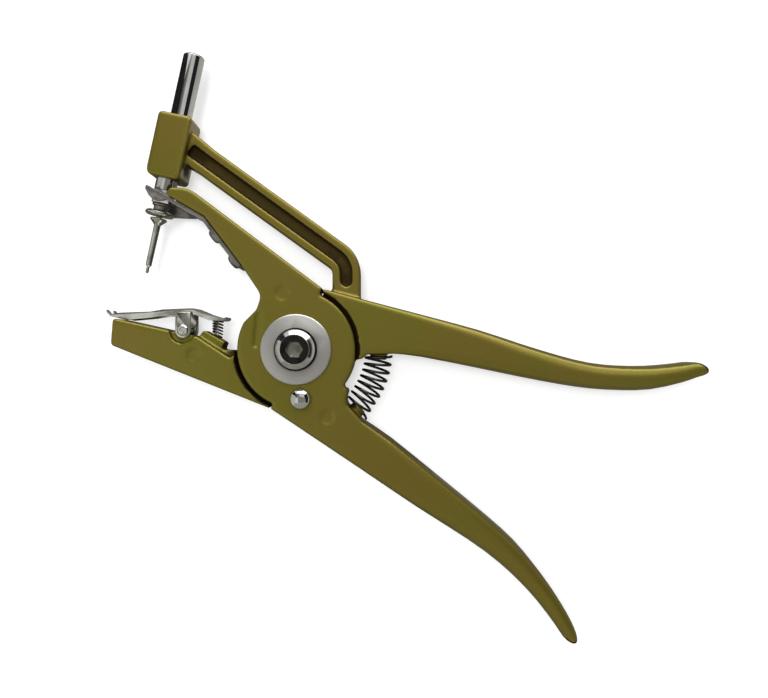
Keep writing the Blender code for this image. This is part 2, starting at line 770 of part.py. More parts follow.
def frame_outline():
    """Whole outline of the frame casting's plate, clockwise from its upper shoulder."""
    seat_inner, seat_outer = seat_points(MAIN_SPRING_TOP_ANGLE)
    shoulder = polar(UPPER_SHOULDER_RADIUS, UPPER_SHOULDER_ANGLE - STOP_ANGLE)
    handle = handle_run(
        (*shoulder, EDGE_ROUND),
        (*seat_outer, EDGE_ROUND),
        UPPER_HANDLE_SHARES,
        UPPER_TIP_SHARE,
        UPPER_HANDLE_LENGTH,
        UPPER_HANDLE_ANGLE,
    )
    lip = [polar(share * HUB_RADIUS, MAIN_SPRING_TOP_ANGLE - step) for share, step in UPPER_LIP_SHARES]
    lip_foot = MAIN_SPRING_TOP_ANGLE - UPPER_LIP_SHARES[-1][1]
    right = arc((0, 0), HUB_RADIUS, lip_foot - LIP_RUN / 2, LOWER_SHOULDER_ANGLE - STOP_ANGLE, 14)
    lower_shoulder = polar(LOWER_SHOULDER_RADIUS, LOWER_SHOULDER_ANGLE - STOP_ANGLE)
    jaw = lower_jaw_points()
    heel = math.degrees(math.atan2(jaw[-1][1], jaw[-1][0])) % 360
    left = arc((0, 0), HUB_RADIUS, heel - 4, UPPER_SHOULDER_ANGLE - STOP_ANGLE, 14)
    outline = handle + with_round(lip + right + [lower_shoulder] + jaw + left)
    return outline


def lower_jaw_points():
    """Lower jaw outline in the world, from its lower tip corner to its heel at the hub."""
    bottom = (-JAW_REACH + JAW_TIP_RAKE, JAW_TOP - JAW_TIP_DEPTH)
    top = (-JAW_REACH, JAW_TOP)
    heel_start = (-JAW_HEEL_START, JAW_TOP)
    drop = (JAW_HEEL_START - JAW_HEEL_END) * math.tan(math.radians(JAW_HEEL_SLOPE))
    heel_end = (-JAW_HEEL_END, JAW_TOP - drop)
    root = turn_point(polar(LOWER_SHOULDER_RADIUS, LOWER_SHOULDER_ANGLE), NEEDLE_TILT)
    points = fillet(root, bottom, top, JAW_CORNER * 1.3)
    points += fillet(bottom, top, heel_start, JAW_CORNER)
    points += [heel_start, heel_end]
    return [jaw_xy(p, q) for p, q in points]


def make_web():
    """Middle web of the lower jaw's heel, with the seat of the clip spring."""
    slope = math.radians(BOSS_SLOPE)
    run = (math.cos(slope), -math.sin(slope))
    rise = (math.sin(slope), math.cos(slope))
    start = (-JAW_HEEL_START, JAW_TOP)
    top_start = along(start, rise, BOSS_HEIGHT)
    top_end = along(top_start, run, BOSS_LENGTH)
    foot = along(top_end, rise, -BOSS_HEIGHT)
    hub = (-HUB_RADIUS * 0.95, -HUB_RADIUS * 0.22)
    deep = (-HUB_RADIUS * 0.95, -HUB_RADIUS * 0.60)
    low = (-JAW_HEEL_START, JAW_TOP - BOSS_HEIGHT)
    points = [start]
    points += fillet(start, top_start, top_end, EDGE_ROUND, 2)
    points += fillet(top_start, top_end, foot, EDGE_ROUND, 2)
    points += [foot, hub, deep, low]
    outline = [jaw_xy(p, q) for p, q in points]
    half = WEB_THICKNESS / 2
    return prism("heel_web", outline, MID_Z - half, MID_Z + half)


def boss_seat():
    """Middle of the clip spring's seat and its outward direction, in the world."""
    slope = math.radians(BOSS_SLOPE)
    rise = (math.sin(slope), math.cos(slope))
    run = (math.cos(slope), -math.sin(slope))
    seat = along(along((-JAW_HEEL_START, JAW_TOP), rise, BOSS_HEIGHT), run, BOSS_LENGTH * CLIP_SPRING_FOOT_SHARE)
    normal = turn_point(rise, -NEEDLE_TILT)
    return jaw_xy(*seat), normal


def make_block():
    """Guide block that the rod slides through."""
    left = -NEEDLE_OFFSET - BLOCK_WIDTH / 2
    right = -NEEDLE_OFFSET + BLOCK_WIDTH / 2
    corners = [(left, BLOCK_BOTTOM), (left, BLOCK_TOP), (right, BLOCK_TOP), (right, BLOCK_BOTTOM)]
    radii = [BLOCK_NOSE_CORNER, BLOCK_CORNER, BLOCK_CORNER, BLOCK_CORNER]
    outline = [jaw_xy(p, q) for p, q in rounded(corners, radii)]
    return cast_plate("guide_block", outline, BACK_Z, FRONT_Z, EDGE_ROUND)


def arm_path(inset, end_y):
    """Middle line of the arched arm, from the block round the knee to its foot."""
    block_side = jaw_xy(-NEEDLE_OFFSET + BLOCK_WIDTH / 2, ARM_BLOCK_HEIGHT)
    knee = (ARM_KNEE_X, ARM_KNEE_Y)
    foot = (ARM_KNEE_X, end_y)
    line = (Vector(knee) - Vector(block_side)).normalized()
    start = along(block_side, line, -inset)
    flare_end = along(block_side, line, ARM_WIDTH * ARM_FLARE_SHARE)
    return [start, flare_end] + fillet(start, knee, (ARM_KNEE_X, -ARM_KNEE_Y), ARM_BEND, 8) + [foot]


def make_arm():
    """Arched arm, a bar that ends inside the block and inside the plate."""
    path = arm_path(BLOCK_WIDTH / 2 - ROD_RADIUS / 2, HUB_RADIUS * ARM_FOOT_SHARE)
    outline = strip_outline(path, ARM_WIDTH / 2, ARM_ROOT_WIDTH / 2)
    half = ARM_THICKNESS / 2
    return cast_plate("arched_arm", outline, MID_Z - half, MID_Z + half, ARM_EDGE)


def cut_arm_channels(casting):
    """Long recess on both faces of the arm, which leaves it a channel section."""
    path = arm_path(-ARM_EDGE, ARM_CHANNEL_END_Y + ARM_CHANNEL_WIDTH / 2)
    outline = strip_outline(path, ARM_CHANNEL_WIDTH / 2)
    half = len(path)
    end = path[-1]
    outline = outline[:half - 1] + arc(end, ARM_CHANNEL_WIDTH / 2, 0, -180, 6) + outline[half + 1:]
    top = MID_Z + ARM_THICKNESS / 2
    bottom = MID_Z - ARM_THICKNESS / 2
    cut(casting, prism("front_channel", outline, top - ARM_CHANNEL_DEPTH, top + OVERRUN))
    cut(casting, prism("back_channel", outline, bottom - OVERRUN, bottom + ARM_CHANNEL_DEPTH))


def cut_needle_way(casting):
    """Bore for the rod and the slots through the lower jaw."""
    low = jaw_xy(-NEEDLE_OFFSET, BLOCK_BOTTOM - OVERRUN)
    high = jaw_xy(-NEEDLE_OFFSET, BLOCK_TOP + OVERRUN)
    cut(casting, round_bar("rod_bore", (*low, MID_Z), (*high, MID_Z), ROD_RADIUS + SEAT_GAP, ROUND_SEGMENTS))
    middle = -NEEDLE_OFFSET + TAG_SLOT_SETBACK
    straight = (TAG_SLOT_LENGTH - TAG_SLOT_WIDTH) / 2
    outline = capsule((middle - straight, 0), (middle + straight, 0), TAG_SLOT_WIDTH / 2)
    cut(casting, jaw_prism("tag_slot", outline, JAW_TOP - JAW_TIP_DEPTH * 1.5, JAW_TOP + OVERRUN))
    straight = (CORE_SLOT_LENGTH - CORE_SLOT_WIDTH) / 2
    outline = capsule((-CORE_SLOT_SETBACK - straight, 0), (-CORE_SLOT_SETBACK + straight, 0), CORE_SLOT_WIDTH / 2)
    floor = jaw_floor(-CORE_SLOT_SETBACK)
    cut(casting, jaw_prism("core_slot", outline, floor - OVERRUN, floor + CORE_SLOT_DEPTH))


def jaw_floor(p):
    """Height of the lower jaw's underside at a place along it."""
    bottom = (-JAW_REACH + JAW_TIP_RAKE, JAW_TOP - JAW_TIP_DEPTH)
    root = turn_point(polar(LOWER_SHOULDER_RADIUS, LOWER_SHOULDER_ANGLE), NEEDLE_TILT)
    share = (p - bottom[0]) / (root[0] - bottom[0])
    return bottom[1] + (root[1] - bottom[1]) * share


def jaw_prism(name, outline, low, high):
    """Prism along the needle, from an outline in p and depth."""
    rings = []
    for q in (low, high):
        rings.append([(*jaw_xy(p, q), MID_Z + depth) for p, depth in outline])
    return stack_rings(name, rings)


def cut_clip_seats(casting):
    """Round recesses for the clip's ears on both faces, with the bore of its pin between them."""
    floor = EAR_SPACING / 2 - SEAT_GAP
    outside = CASTING_THICKNESS / 2 + OVERRUN
    bore = CLIP_PIN_RADIUS + SEAT_GAP
    profile = [
        (0, -outside),
        (SCALLOP_RADIUS, -outside),
        (SCALLOP_RADIUS, -floor),
        (bore, -floor),
        (bore, floor),
        (SCALLOP_RADIUS, floor),
        (SCALLOP_RADIUS, outside),
        (0, outside),
    ]
    matrix = Matrix.Translation((*CLIP_PIVOT, MID_Z))
    cut(casting, turned("clip_seats_cut", profile, ROUND_SEGMENTS, matrix))


def cut_hub(casting):
    """Lap, bore, washer recess and stop slot of the frame's half of the hub."""
    lap = turned(
        "frame_lap_cut",
        [(0, REAR_LAP_Z), (LAP_RADIUS, REAR_LAP_Z), (LAP_RADIUS, FRONT_Z + OVERRUN), (0, FRONT_Z + OVERRUN)],
        ROUND_SEGMENTS * 2,
        Matrix.Identity(4),
    )
    cut(casting, lap)
    bore = BARREL_RADIUS + SEAT_GAP
    cut(casting, round_bar("frame_pivot_bore", (0, 0, BACK_Z - OVERRUN), (0, 0, MID_Z + OVERRUN), bore, ROUND_SEGMENTS))
    recess = REAR_LAP_Z - thrust_recess_depth()
    radius = THRUST_WASHER_RADIUS + SEAT_GAP
    cut(casting, round_bar("thrust_recess", (0, 0, recess), (0, 0, MID_Z + OVERRUN), radius, ROUND_SEGMENTS))
    half = STOP_PIN_RADIUS + SEAT_GAP
    start = STOP_PIN_ANGLE
    end = STOP_PIN_ANGLE + SQUEEZE_ANGLE
    outer = arc((0, 0), STOP_PIN_ORBIT + half, start, end, 8)
    inner = arc((0, 0), STOP_PIN_ORBIT - half, end, start, 8)
    last = arc(polar(STOP_PIN_ORBIT, end), half, end, end + 180, 6)
    first = arc(polar(STOP_PIN_ORBIT, start), half, start + 180, start + 360, 6)
    outline = outer + last[1:-1] + inner + first[1:-1]
    cut(casting, prism("stop_slot", outline, REAR_LAP_Z - STOP_SLOT_DEPTH, REAR_LAP_Z + OVERRUN))


def thrust_recess_depth():
    return THRUST_WASHER_THICKNESS + 2 * SEAT_GAP - LAP_GAP


def make_frame_casting(material):
    points, rounds = split(frame_outline())
    casting = cast_plate("frame_casting", points, BACK_Z, FRONT_Z, rounds)
    for index, (x, y) in enumerate(FRAME_EJECTOR_SHARES):
        centre = (x * HUB_RADIUS, y * HUB_RADIUS)
        cut_disc_mark(casting, f"frame_mark_{index}", centre, EJECTOR_RADIUS, EJECTOR_DEPTH)
    add(casting, make_web())
    add(casting, make_block())
    add(casting, make_arm())
    cut_hub(casting)
    cut_arm_channels(casting)
    cut_needle_way(casting)
    cut_clip_seats(casting)
    add_spring_peg(casting, "frame_spring_peg", MAIN_SPRING_ORBIT, MAIN_SPRING_TOP_ANGLE, -90)
    seat, normal = boss_seat()
    start = along(seat, normal, -BOSS_HEIGHT / 2)
    end = along(seat, normal, CLIP_PEG_HEIGHT)
    add(casting, round_bar("clip_spring_peg", (*start, MID_Z), (*end, MID_Z), CLIP_PEG_RADIUS))
    return finish(casting, material)


# Pivot stack and stop pin


def make_pivot_bolt(material):
    top = BOLT_HEAD_Z + BOLT_HEAD_HEIGHT
    bottom = BOLT_HEAD_Z - THREAD_LENGTH
    profile = [
        (0, bottom),
        (BOLT_SHANK_RADIUS, bottom),
        (BOLT_SHANK_RADIUS, BOLT_HEAD_Z),
        (BOLT_HEAD_RADIUS, BOLT_HEAD_Z),
        (BOLT_HEAD_RADIUS, top - BOLT_HEAD_CHAMFER),
        (BOLT_HEAD_RADIUS - BOLT_HEAD_CHAMFER, top),
        (0, top),
    ]
    bolt = turned("pivot_bolt", profile, ROUND_SEGMENTS, Matrix.Identity(4))
    corner = SOCKET_ACROSS_FLATS / math.sqrt(3)
    hexagon = arc((0, 0), corner, 0, 300, 5)
    cut(bolt, prism("hex_socket", hexagon, top - SOCKET_DEPTH, top + OVERRUN))
    return finish(bolt, material)


def make_pivot_nut(material):
    """Sleeve nut: a thin head at the back and the barrel that both levers turn on."""
    barrel_top = BOLT_HEAD_Z - SEAT_GAP
    floor = BOLT_HEAD_Z - THREAD_LENGTH - SEAT_GAP
    bore = BOLT_SHANK_RADIUS + SEAT_GAP
    profile = [
        (0, 0),
        (NUT_HEAD_RADIUS - NUT_HEAD_CHAMFER, 0),
        (NUT_HEAD_RADIUS, NUT_HEAD_CHAMFER),
        (NUT_HEAD_RADIUS, NUT_HEAD_HEIGHT),
        (BARREL_RADIUS, NUT_HEAD_HEIGHT),
        (BARREL_RADIUS, barrel_top),
        (bore, barrel_top),
        (bore, floor),
        (0, floor),
    ]
    return finish(turned("pivot_nut", profile, ROUND_SEGMENTS, Matrix.Identity(4)), material)


def make_washer(name, low, radius, thickness, chamfer, material):
    profile = ring_profile(BARREL_RADIUS + SEAT_GAP, radius, low, low + thickness, chamfer)
    return finish(turned(name, profile, ROUND_SEGMENTS, Matrix.Identity(4)), material)


def make_stop_pin(material):
    """Domed pin held in the drive casting, whose end runs in the frame's arc slot."""
    x, y = polar(STOP_PIN_ORBIT, STOP_PIN_ANGLE)
    seat = FRONT_Z + SEAT_GAP
    bottom = REAR_LAP_Z - STOP_SLOT_DEPTH + SEAT_GAP
    wall = STOP_PIN_HEAD_HEIGHT * 0.3
    profile = [(0, bottom), (STOP_PIN_RADIUS, bottom), (STOP_PIN_RADIUS, seat), (STOP_PIN_HEAD_RADIUS, seat)]
    for step in range(7):
        angle = math.radians(90) * step / 6
        rise = wall + (STOP_PIN_HEAD_HEIGHT - wall) * math.sin(angle)
        profile.append((STOP_PIN_HEAD_RADIUS * math.cos(angle), seat + rise))
    profile[-1] = (0, seat + STOP_PIN_HEAD_HEIGHT)
    return finish(turned("stop_pin", profile, 28, Matrix.Translation((x, y, 0))), material)


# Rod, needle and its lock nut, all turned on the needle line


def needle_matrix():
    """Matrix whose origin is at the fork's crossing and whose +Z runs up the needle line."""
    x, y = jaw_xy(-NEEDLE_OFFSET, FORK_HEIGHT)
    up_x, up_y = jaw_xy(0, 1)
    return plane_frame(x, y, MID_Z, (up_x, up_y, 0))


ROD_BOTTOM = -NECK_BELOW
HOLDER_TOP = ROD_BOTTOM - SEAT_GAP
HOLDER_BOTTOM = HOLDER_TOP - HOLDER_HEIGHT
HOLDER_COLLAR_TOP = HOLDER_BOTTOM - SEAT_GAP
HOLDER_COLLAR_BOTTOM = HOLDER_COLLAR_TOP - HOLDER_COLLAR_HEIGHT
COLLAR_TOP = HOLDER_COLLAR_BOTTOM - COLLAR_SPACE
STUB_LENGTH = COLLAR_SPACE + HOLDER_COLLAR_HEIGHT + SEAT_GAP + STUB_DEPTH


def make_plunger_rod(material):
    """Round rod with two flats above its lower end, where the fork straddles it."""
    top = NECK_ABOVE + ROD_LENGTH
    bore = HOLDER_STUD_RADIUS + SEAT_GAP
    floor = HOLDER_TOP + HOLDER_STUD_LENGTH + SEAT_GAP
    profile = [
        (0, floor),
        (bore, floor),
        (bore, ROD_BOTTOM),
        (ROD_RADIUS, ROD_BOTTOM),
        (ROD_RADIUS, top - ROD_CHAMFER),
        (ROD_RADIUS - ROD_CHAMFER, top),
        (0, top),
    ]
    rod = turned("plunger_rod", profile, 32, needle_matrix())
    for name, side in (("front_flat", 1), ("back_flat", -1)):
        cut(rod, make_neck_flat(name, side))
    return finish(rod, material)


def make_neck_flat(name, side):
    """Cutter for one flat of the neck that the fork straddles."""
    reach = ROD_RADIUS + OVERRUN
    low = -NECK_BELOW - OVERRUN
    corners = [(-reach, low), (reach, low), (reach, NECK_ABOVE), (-reach, NECK_ABOVE)]
    outline = [jaw_xy(p - NEEDLE_OFFSET, q + FORK_HEIGHT) for p, q in corners]
    near = MID_Z + side * NECK_ACROSS_FLATS / 2
    far = MID_Z + side * reach
    return prism(name, outline, min(near, far), max(near, far))


def make_needle_holder(material):
    """Flanged neck under the fork, with a stud up into the rod and a bore for the needle."""
    bore = STUB_RADIUS + SEAT_GAP
    ceiling = COLLAR_TOP + STUB_LENGTH + SEAT_GAP
    flange = HOLDER_TOP - HOLDER_FLANGE_HEIGHT
    profile = [
        (0, HOLDER_TOP + HOLDER_STUD_LENGTH),
        (HOLDER_STUD_RADIUS, HOLDER_TOP + HOLDER_STUD_LENGTH),
        (HOLDER_STUD_RADIUS, HOLDER_TOP),
        (HOLDER_FLANGE_RADIUS, HOLDER_TOP),
        (HOLDER_FLANGE_RADIUS, flange),
        (HOLDER_NECK_RADIUS, flange - HOLDER_FLANGE_HEIGHT / 2),
        (HOLDER_NECK_RADIUS, HOLDER_BOTTOM),
        (bore, HOLDER_BOTTOM),
        (bore, ceiling),
        (0, ceiling),
    ]
    return finish(turned("needle_holder", profile, 28, needle_matrix()), material)


def make_holder_collar(material):
    """Round collar with a full rim, clamped between the holder and the needle."""
    chamfer = HOLDER_COLLAR_HEIGHT * 0.35
    inner = STUB_RADIUS + SEAT_GAP
    profile = ring_profile(inner, HOLDER_COLLAR_RADIUS, HOLDER_COLLAR_BOTTOM, HOLDER_COLLAR_TOP, chamfer)
    return finish(turned("holder_collar", profile, 28, needle_matrix()), material)


def make_needle(material):
    """Needle with its collar and the stub that screws into the rod."""
    collar_bottom = COLLAR_TOP - COLLAR_HEIGHT
    shank_top = collar_bottom - COLLAR_CONE_HEIGHT
    shank_end = shank_top - NEEDLE_LENGTH
    tip_end = shank_end - NEEDLE_TIP_LENGTH
    edge = COLLAR_HEIGHT / 4
    profile = [
        (0, tip_end),
        (NEEDLE_TIP_RADIUS, tip_end + NEEDLE_TIP_RADIUS),
        (NEEDLE_TIP_RADIUS, shank_end),
        (NEEDLE_RADIUS, shank_end + NEEDLE_RADIUS / 2),
        (NEEDLE_RADIUS * 1.12, shank_top),
        (COLLAR_RADIUS * 0.62, shank_top + COLLAR_CONE_HEIGHT * 0.45),
        (COLLAR_RADIUS - edge, collar_bottom),
        (COLLAR_RADIUS, collar_bottom + edge),
        (COLLAR_RADIUS, COLLAR_TOP - edge),
        (COLLAR_RADIUS - edge, COLLAR_TOP),
        (STUB_RADIUS, COLLAR_TOP),
        (STUB_RADIUS, COLLAR_TOP + STUB_LENGTH),
        (0, COLLAR_TOP + STUB_LENGTH),
    ]
    return finish(turned("needle", profile, 20, needle_matrix()), material)


# Fork plate and its screws


def screw_places():
    """Where the screws cross the middle plane of the fork plate, in the jaw frame."""
    return [along(FORK_BEND, HEEL_LEG, share * FORK_HEEL_LEG) for share in SCREW_PLACE_SHARES]


def make_fork_flange(name, shares, depth, low):
    """Part of the strip's edge that is turned down, clear of the round collar between the two."""
    inside = FORK_THICKNESS / 4
    corners = []
    for share, drop in shares:
        place = along(FORK_TIP, END_LEG, share * FORK_END_LEG)
        corners.append(along(place, END_LEG_UP, -FORK_THICKNESS / 2 - drop * depth))
    for share in (shares[-1][0], shares[0][0]):
        place = along(FORK_TIP, END_LEG, share * FORK_END_LEG)
        corners.append(along(place, END_LEG_UP, -inside))
    outline = [jaw_xy(p, q) for p, q in corners]
    return prism(name, outline, low, low + FORK_THICKNESS)


def make_fork_plate(material):
    path = [FORK_TIP] + fillet(FORK_TIP, FORK_BEND, FORK_END, FORK_THICKNESS * 1.5, 4) + [FORK_END]
    outline = [jaw_xy(p, q) for p, q in strip_outline(path, FORK_THICKNESS / 2)]
    half = HOLDER_COLLAR_RADIUS + SEAT_GAP + FORK_THICKNESS
    plate = prism("fork_plate", outline, MID_Z - half, MID_Z + half)
    near = MID_Z + half - FORK_THICKNESS
    add(plate, make_fork_flange("fork_flange", FORK_FLANGE_SHARES, FORK_FLANGE_DEPTH, MID_Z - half))
    add(plate, make_fork_flange("fork_lip", FORK_LIP_SHARES, FORK_LIP_DEPTH, near))
    length = FORK_LEAD + fork_slide(SQUEEZE_ANGLE) + ROD_RADIUS + SEAT_GAP
    reach = FORK_THICKNESS + OVERRUN
    corners = []
    for step, rise in ((-OVERRUN, -reach), (length, -reach), (length, reach), (-OVERRUN, reach)):
        corners.append(jaw_xy(*along(along(FORK_TIP, END_LEG, step), END_LEG_UP, rise)))
    slot = FORK_SLOT_WIDTH / 2
    cut(plate, prism("fork_slot", corners, MID_Z - slot, MID_Z + slot))
    for index, place in enumerate(screw_places()):
        start = along(place, HEEL_LEG_UP, -reach)
        end = along(place, HEEL_LEG_UP, reach)
        hole = SCREW_RADIUS + SEAT_GAP
        cut(plate, round_bar(f"fork_hole_{index}", (*jaw_xy(*start), MID_Z), (*jaw_xy(*end), MID_Z), hole))
    return finish(plate, material)


def make_fork_screw(name, place, material):
    """Domed screw through the fork plate into the drive jaw."""
    seat = -FORK_THICKNESS / 2 - SEAT_GAP
    profile = [(0, SCREW_DEPTH - SEAT_GAP), (SCREW_RADIUS, SCREW_DEPTH - SEAT_GAP), (SCREW_RADIUS, seat)]
    for step in range(5):
        angle = math.radians(90) * step / 4
        side = SCREW_HEAD_RADIUS * (SCREW_FLAT_SHARE + (1 - SCREW_FLAT_SHARE) * math.cos(angle))
        profile.append((side, seat - SCREW_HEAD_HEIGHT * math.sin(angle)))
    profile.append((0, seat - SCREW_HEAD_HEIGHT))
    x, y = jaw_xy(*place)
    up = turn_point(HEEL_LEG_UP, -NEEDLE_TILT)
    screw = turned(name, profile, 24, plane_frame(x, y, MID_Z, (*up, 0)))
    drive = (*along((x, y), up, seat - SCREW_HEAD_HEIGHT - OVERRUN), MID_Z)
    floor = (*along((x, y), up, seat - SCREW_HEAD_HEIGHT / 2), MID_Z)
    socket = round_bar(f"{name}_socket", drive, floor, SCREW_HEAD_RADIUS * SCREW_FLAT_SHARE, 6)
    cut(screw, socket)
    return finish(screw, material)


# Tag clip, drawn in a frame at its pivot with world directions


def jaw_top_under_clip(x):
    """Height of the lower jaw's top face in the clip frame."""
    tilt = math.radians(NEEDLE_TILT)
    start_x = -CLIP_PIVOT_RISE * math.sin(tilt)
    start_y = -CLIP_PIVOT_RISE * math.cos(tilt)
    return start_y - (x - start_x) * math.tan(tilt)


def clip_world(outline):
    """Outline moved from the clip frame to the world."""
    return [(x + CLIP_PIVOT[0], y + CLIP_PIVOT[1]) for x, y in outline]


FRONT_TOP_SHARES = ((-0.83, 0.434), (-0.43, 0.773), (-0.27, 0.930))
TAIL_TOP_SHARES = ((0.12, 1.0), (0.27, 0.99), (0.58, 0.74), (0.93, 0.54))


def front_top(x, share):
    """Upper side of the clip's front, at a share of the way from the jaw up to the full height."""
    seat = jaw_top_under_clip(x) + SEAT_GAP + CLIP_SHEET
    return seat + (CLIP_HEIGHT - seat) * share


def clip_top_line():
    """Upper side of the clip lever, from its lip to its tail."""
    tip_seat = jaw_top_under_clip(-CLIP_FRONT) + SEAT_GAP + CLIP_SHEET
    lip_foot = -CLIP_FRONT * 0.95
    lip_seat = jaw_top_under_clip(lip_foot) + SEAT_GAP + CLIP_SHEET
    line = [(-CLIP_FRONT, tip_seat + CLIP_LIP_RISE * 0.7), (lip_foot, lip_seat)]
    line += [(x * CLIP_FRONT, front_top(x * CLIP_FRONT, share)) for x, share in FRONT_TOP_SHARES]
    line += [(x * CLIP_TAIL, y * CLIP_HEIGHT) for x, y in TAIL_TOP_SHARES]
    line += [(CLIP_TAIL, CLIP_HEIGHT * 0.60)]
    return line


def lowered(line, depth):
    """A line moved down by a depth."""
    return [(x, y - depth) for x, y in line]


def make_clip_lever(material):
    """Channel-shaped lever with two prongs in front and a thumb tail behind."""
    top = clip_top_line()
    under = lowered(top, CLIP_SHEET)
    front_low = jaw_top_under_clip(-CLIP_FRONT * 0.74) + SEAT_GAP
    flange = [under[1], (-CLIP_FRONT * 0.74, front_low)]
    flange += [(x, y - CLIP_FLANGE) for x, y in top[3:8]]
    side = top + [under[-1], under[-2]] + flange[::-1] + [under[0]]
    half = CLIP_WIDTH / 2
    lever = prism("clip_lever", clip_world(side), MID_Z - half, MID_Z + half)
    inside = under[:1] + under[1:-1] + [under[-1], (CLIP_TAIL * 1.2, -CLIP_HEIGHT), (-CLIP_FRONT * 1.1, -CLIP_HEIGHT)]
    hollow = clip_world(inside[1:])
    room = half - CLIP_SHEET
    cut(lever, prism("clip_hollow", hollow, MID_Z - room, MID_Z + room))
    slot_start = -CLIP_FRONT - OVERRUN
    slot_end = -CLIP_FRONT + PRONG_SLOT_LENGTH
    slot_outline = [(slot_start, -CLIP_HEIGHT), (slot_end, -CLIP_HEIGHT)]
    slot_outline += [(slot_end, CLIP_HEIGHT * 2), (slot_start, CLIP_HEIGHT * 2)]
    slot = PRONG_SLOT_WIDTH / 2
    cut(lever, prism("prong_slot", clip_world(slot_outline), MID_Z - slot, MID_Z + slot))
    notch = EAR_WIDTH / 2 + SEAT_GAP
    floor = CLIP_HEIGHT - CLIP_SHEET - SADDLE_LEVEL_SHARE * CLIP_SHEET
    corners = [(-notch, -CLIP_HEIGHT), (notch, -CLIP_HEIGHT), (notch, floor), (-notch, floor)]
    cut(lever, prism("yoke_notch", clip_world(corners), MID_Z - EAR_SPACING, MID_Z + EAR_SPACING))
    return finish(lever, material)


SADDLE_LEVEL_SHARE = 0.35


def saddle_top():
    """Height of the yoke's top face in the clip frame."""
    return CLIP_HEIGHT - CLIP_SHEET - SADDLE_LEVEL_SHARE * CLIP_SHEET - SEAT_GAP


def make_clip_yoke(material):
    """Bent yoke: a bridge under the lever and an ear down each side of the jaw."""
    half = EAR_WIDTH / 2
    top = saddle_top()
    outline = [(half, top), (-half, top)] + arc((0, 0), half, 180, 360, 10)
    outer = EAR_SPACING / 2 + CLIP_SHEET
    yoke = prism("clip_yoke", clip_world(outline), MID_Z - outer, MID_Z + outer)
    reach = half + OVERRUN
    floor = top - CLIP_SHEET
    corners = [(-reach, floor), (-reach, -reach), (reach, -reach), (reach, floor)]
    inner = EAR_SPACING / 2
    cut(yoke, prism("yoke_room", clip_world(corners), MID_Z - inner, MID_Z + inner))
    low = (*CLIP_PIVOT, MID_Z - outer - OVERRUN)
    high = (*CLIP_PIVOT, MID_Z + outer + OVERRUN)
    cut(yoke, round_bar("yoke_pin_holes", low, high, CLIP_PIN_RADIUS + SEAT_GAP))
    return finish(yoke, material)


def make_clip_pin(material):
    """Riveted pin through the jaw and both ears."""
    seat = EAR_SPACING / 2 + CLIP_SHEET + SEAT_GAP
    top = seat + CLIP_PIN_HEAD_HEIGHT
    edge = CLIP_PIN_HEAD_HEIGHT / 2
    upper = [
        (CLIP_PIN_RADIUS, seat),
        (CLIP_PIN_HEAD_RADIUS, seat),
        (CLIP_PIN_HEAD_RADIUS, seat + edge),
        (CLIP_PIN_HEAD_RADIUS - edge, top),
        (0, top),
    ]
    lower = [(radius, -height) for radius, height in upper[::-1]]
    matrix = Matrix.Translation((*CLIP_PIVOT, MID_Z))
    return finish(turned("clip_pin", lower + upper, SMALL_SEGMENTS, matrix), material)


# Springs, each one unbroken wire


def wire(name, points, diameter, material):
    """Round wire along points."""
    curve = bpy.data.curves.new(name, "CURVE")
    curve.dimensions = "3D"
    curve.twist_mode = "MINIMUM"
    curve.bevel_depth = diameter / 2
    curve.bevel_resolution = 1
    curve.use_fill_caps = True
    spline = curve.splines.new("POLY")
    spline.points.add(len(points) - 1)
    for target, point in zip(spline.points, points):
        target.co = (*point, 1)
    obj = bpy.data.objects.new(name, curve)
    bpy.context.scene.collection.objects.link(obj)
    return finish(obj, material)


def with_straight_ends(points, length):
    """Wire points with a straight end of one wire diameter at each side."""
    first = points[0] + (points[0] - points[1]).normalized() * length
    last = points[-1] + (points[-1] - points[-2]).normalized() * length
    return [first] + points + [last]


def main_spring_points(points_per_turn):
    """Coil wound along an arc round the pivot, between the two seats."""
    lift = MAIN_SPRING_WIRE / 2 + SEAT_GAP
    spare = math.degrees(lift / (MAIN_SPRING_ORBIT - MAIN_SPRING_RADIUS))
    start = MAIN_SPRING_TOP_ANGLE - spare
    end = MAIN_SPRING_FOOT_ANGLE + spare
    coil = MAIN_SPRING_RADIUS - MAIN_SPRING_WIRE / 2
    points = []
    total = MAIN_SPRING_TURNS * points_per_turn
    for index in range(total + 1):
        share = index / total
        angle = start + (end - start) * share
        turn = math.tau * index / points_per_turn
        late = max(share - 1 + MAIN_SPRING_DRIFT_SHARE, 0) / MAIN_SPRING_DRIFT_SHARE
        orbit = MAIN_SPRING_ORBIT + MAIN_SPRING_DRIFT * late * late
        x, y = polar(orbit + coil * math.cos(turn), angle)
        points.append(Vector((x, y, MID_Z + coil * math.sin(turn))))
    return points


def clip_spring_ends():
    """Both ends of the clip spring's axis, with the slopes of its seat and of the lever's tail."""
    seat, normal = boss_seat()
    tail_x = CLIP_TAIL * CLIP_SPRING_TAIL_SHARE
    line = clip_top_line()
    tail = line[-2]
    bend = line[-3]
    share = (tail_x - bend[0]) / (tail[0] - bend[0])
    tail_y = bend[1] + (tail[1] - bend[1]) * share - CLIP_SHEET
    head = (CLIP_PIVOT[0] + tail_x, CLIP_PIVOT[1] + tail_y)
    foot_slope = math.atan2(normal[1], normal[0]) - math.radians(90)
    head_slope = math.atan2(tail[1] - bend[1], tail[0] - bend[0])
    return Vector((*seat, MID_Z)), foot_slope, Vector((*head, MID_Z)), head_slope


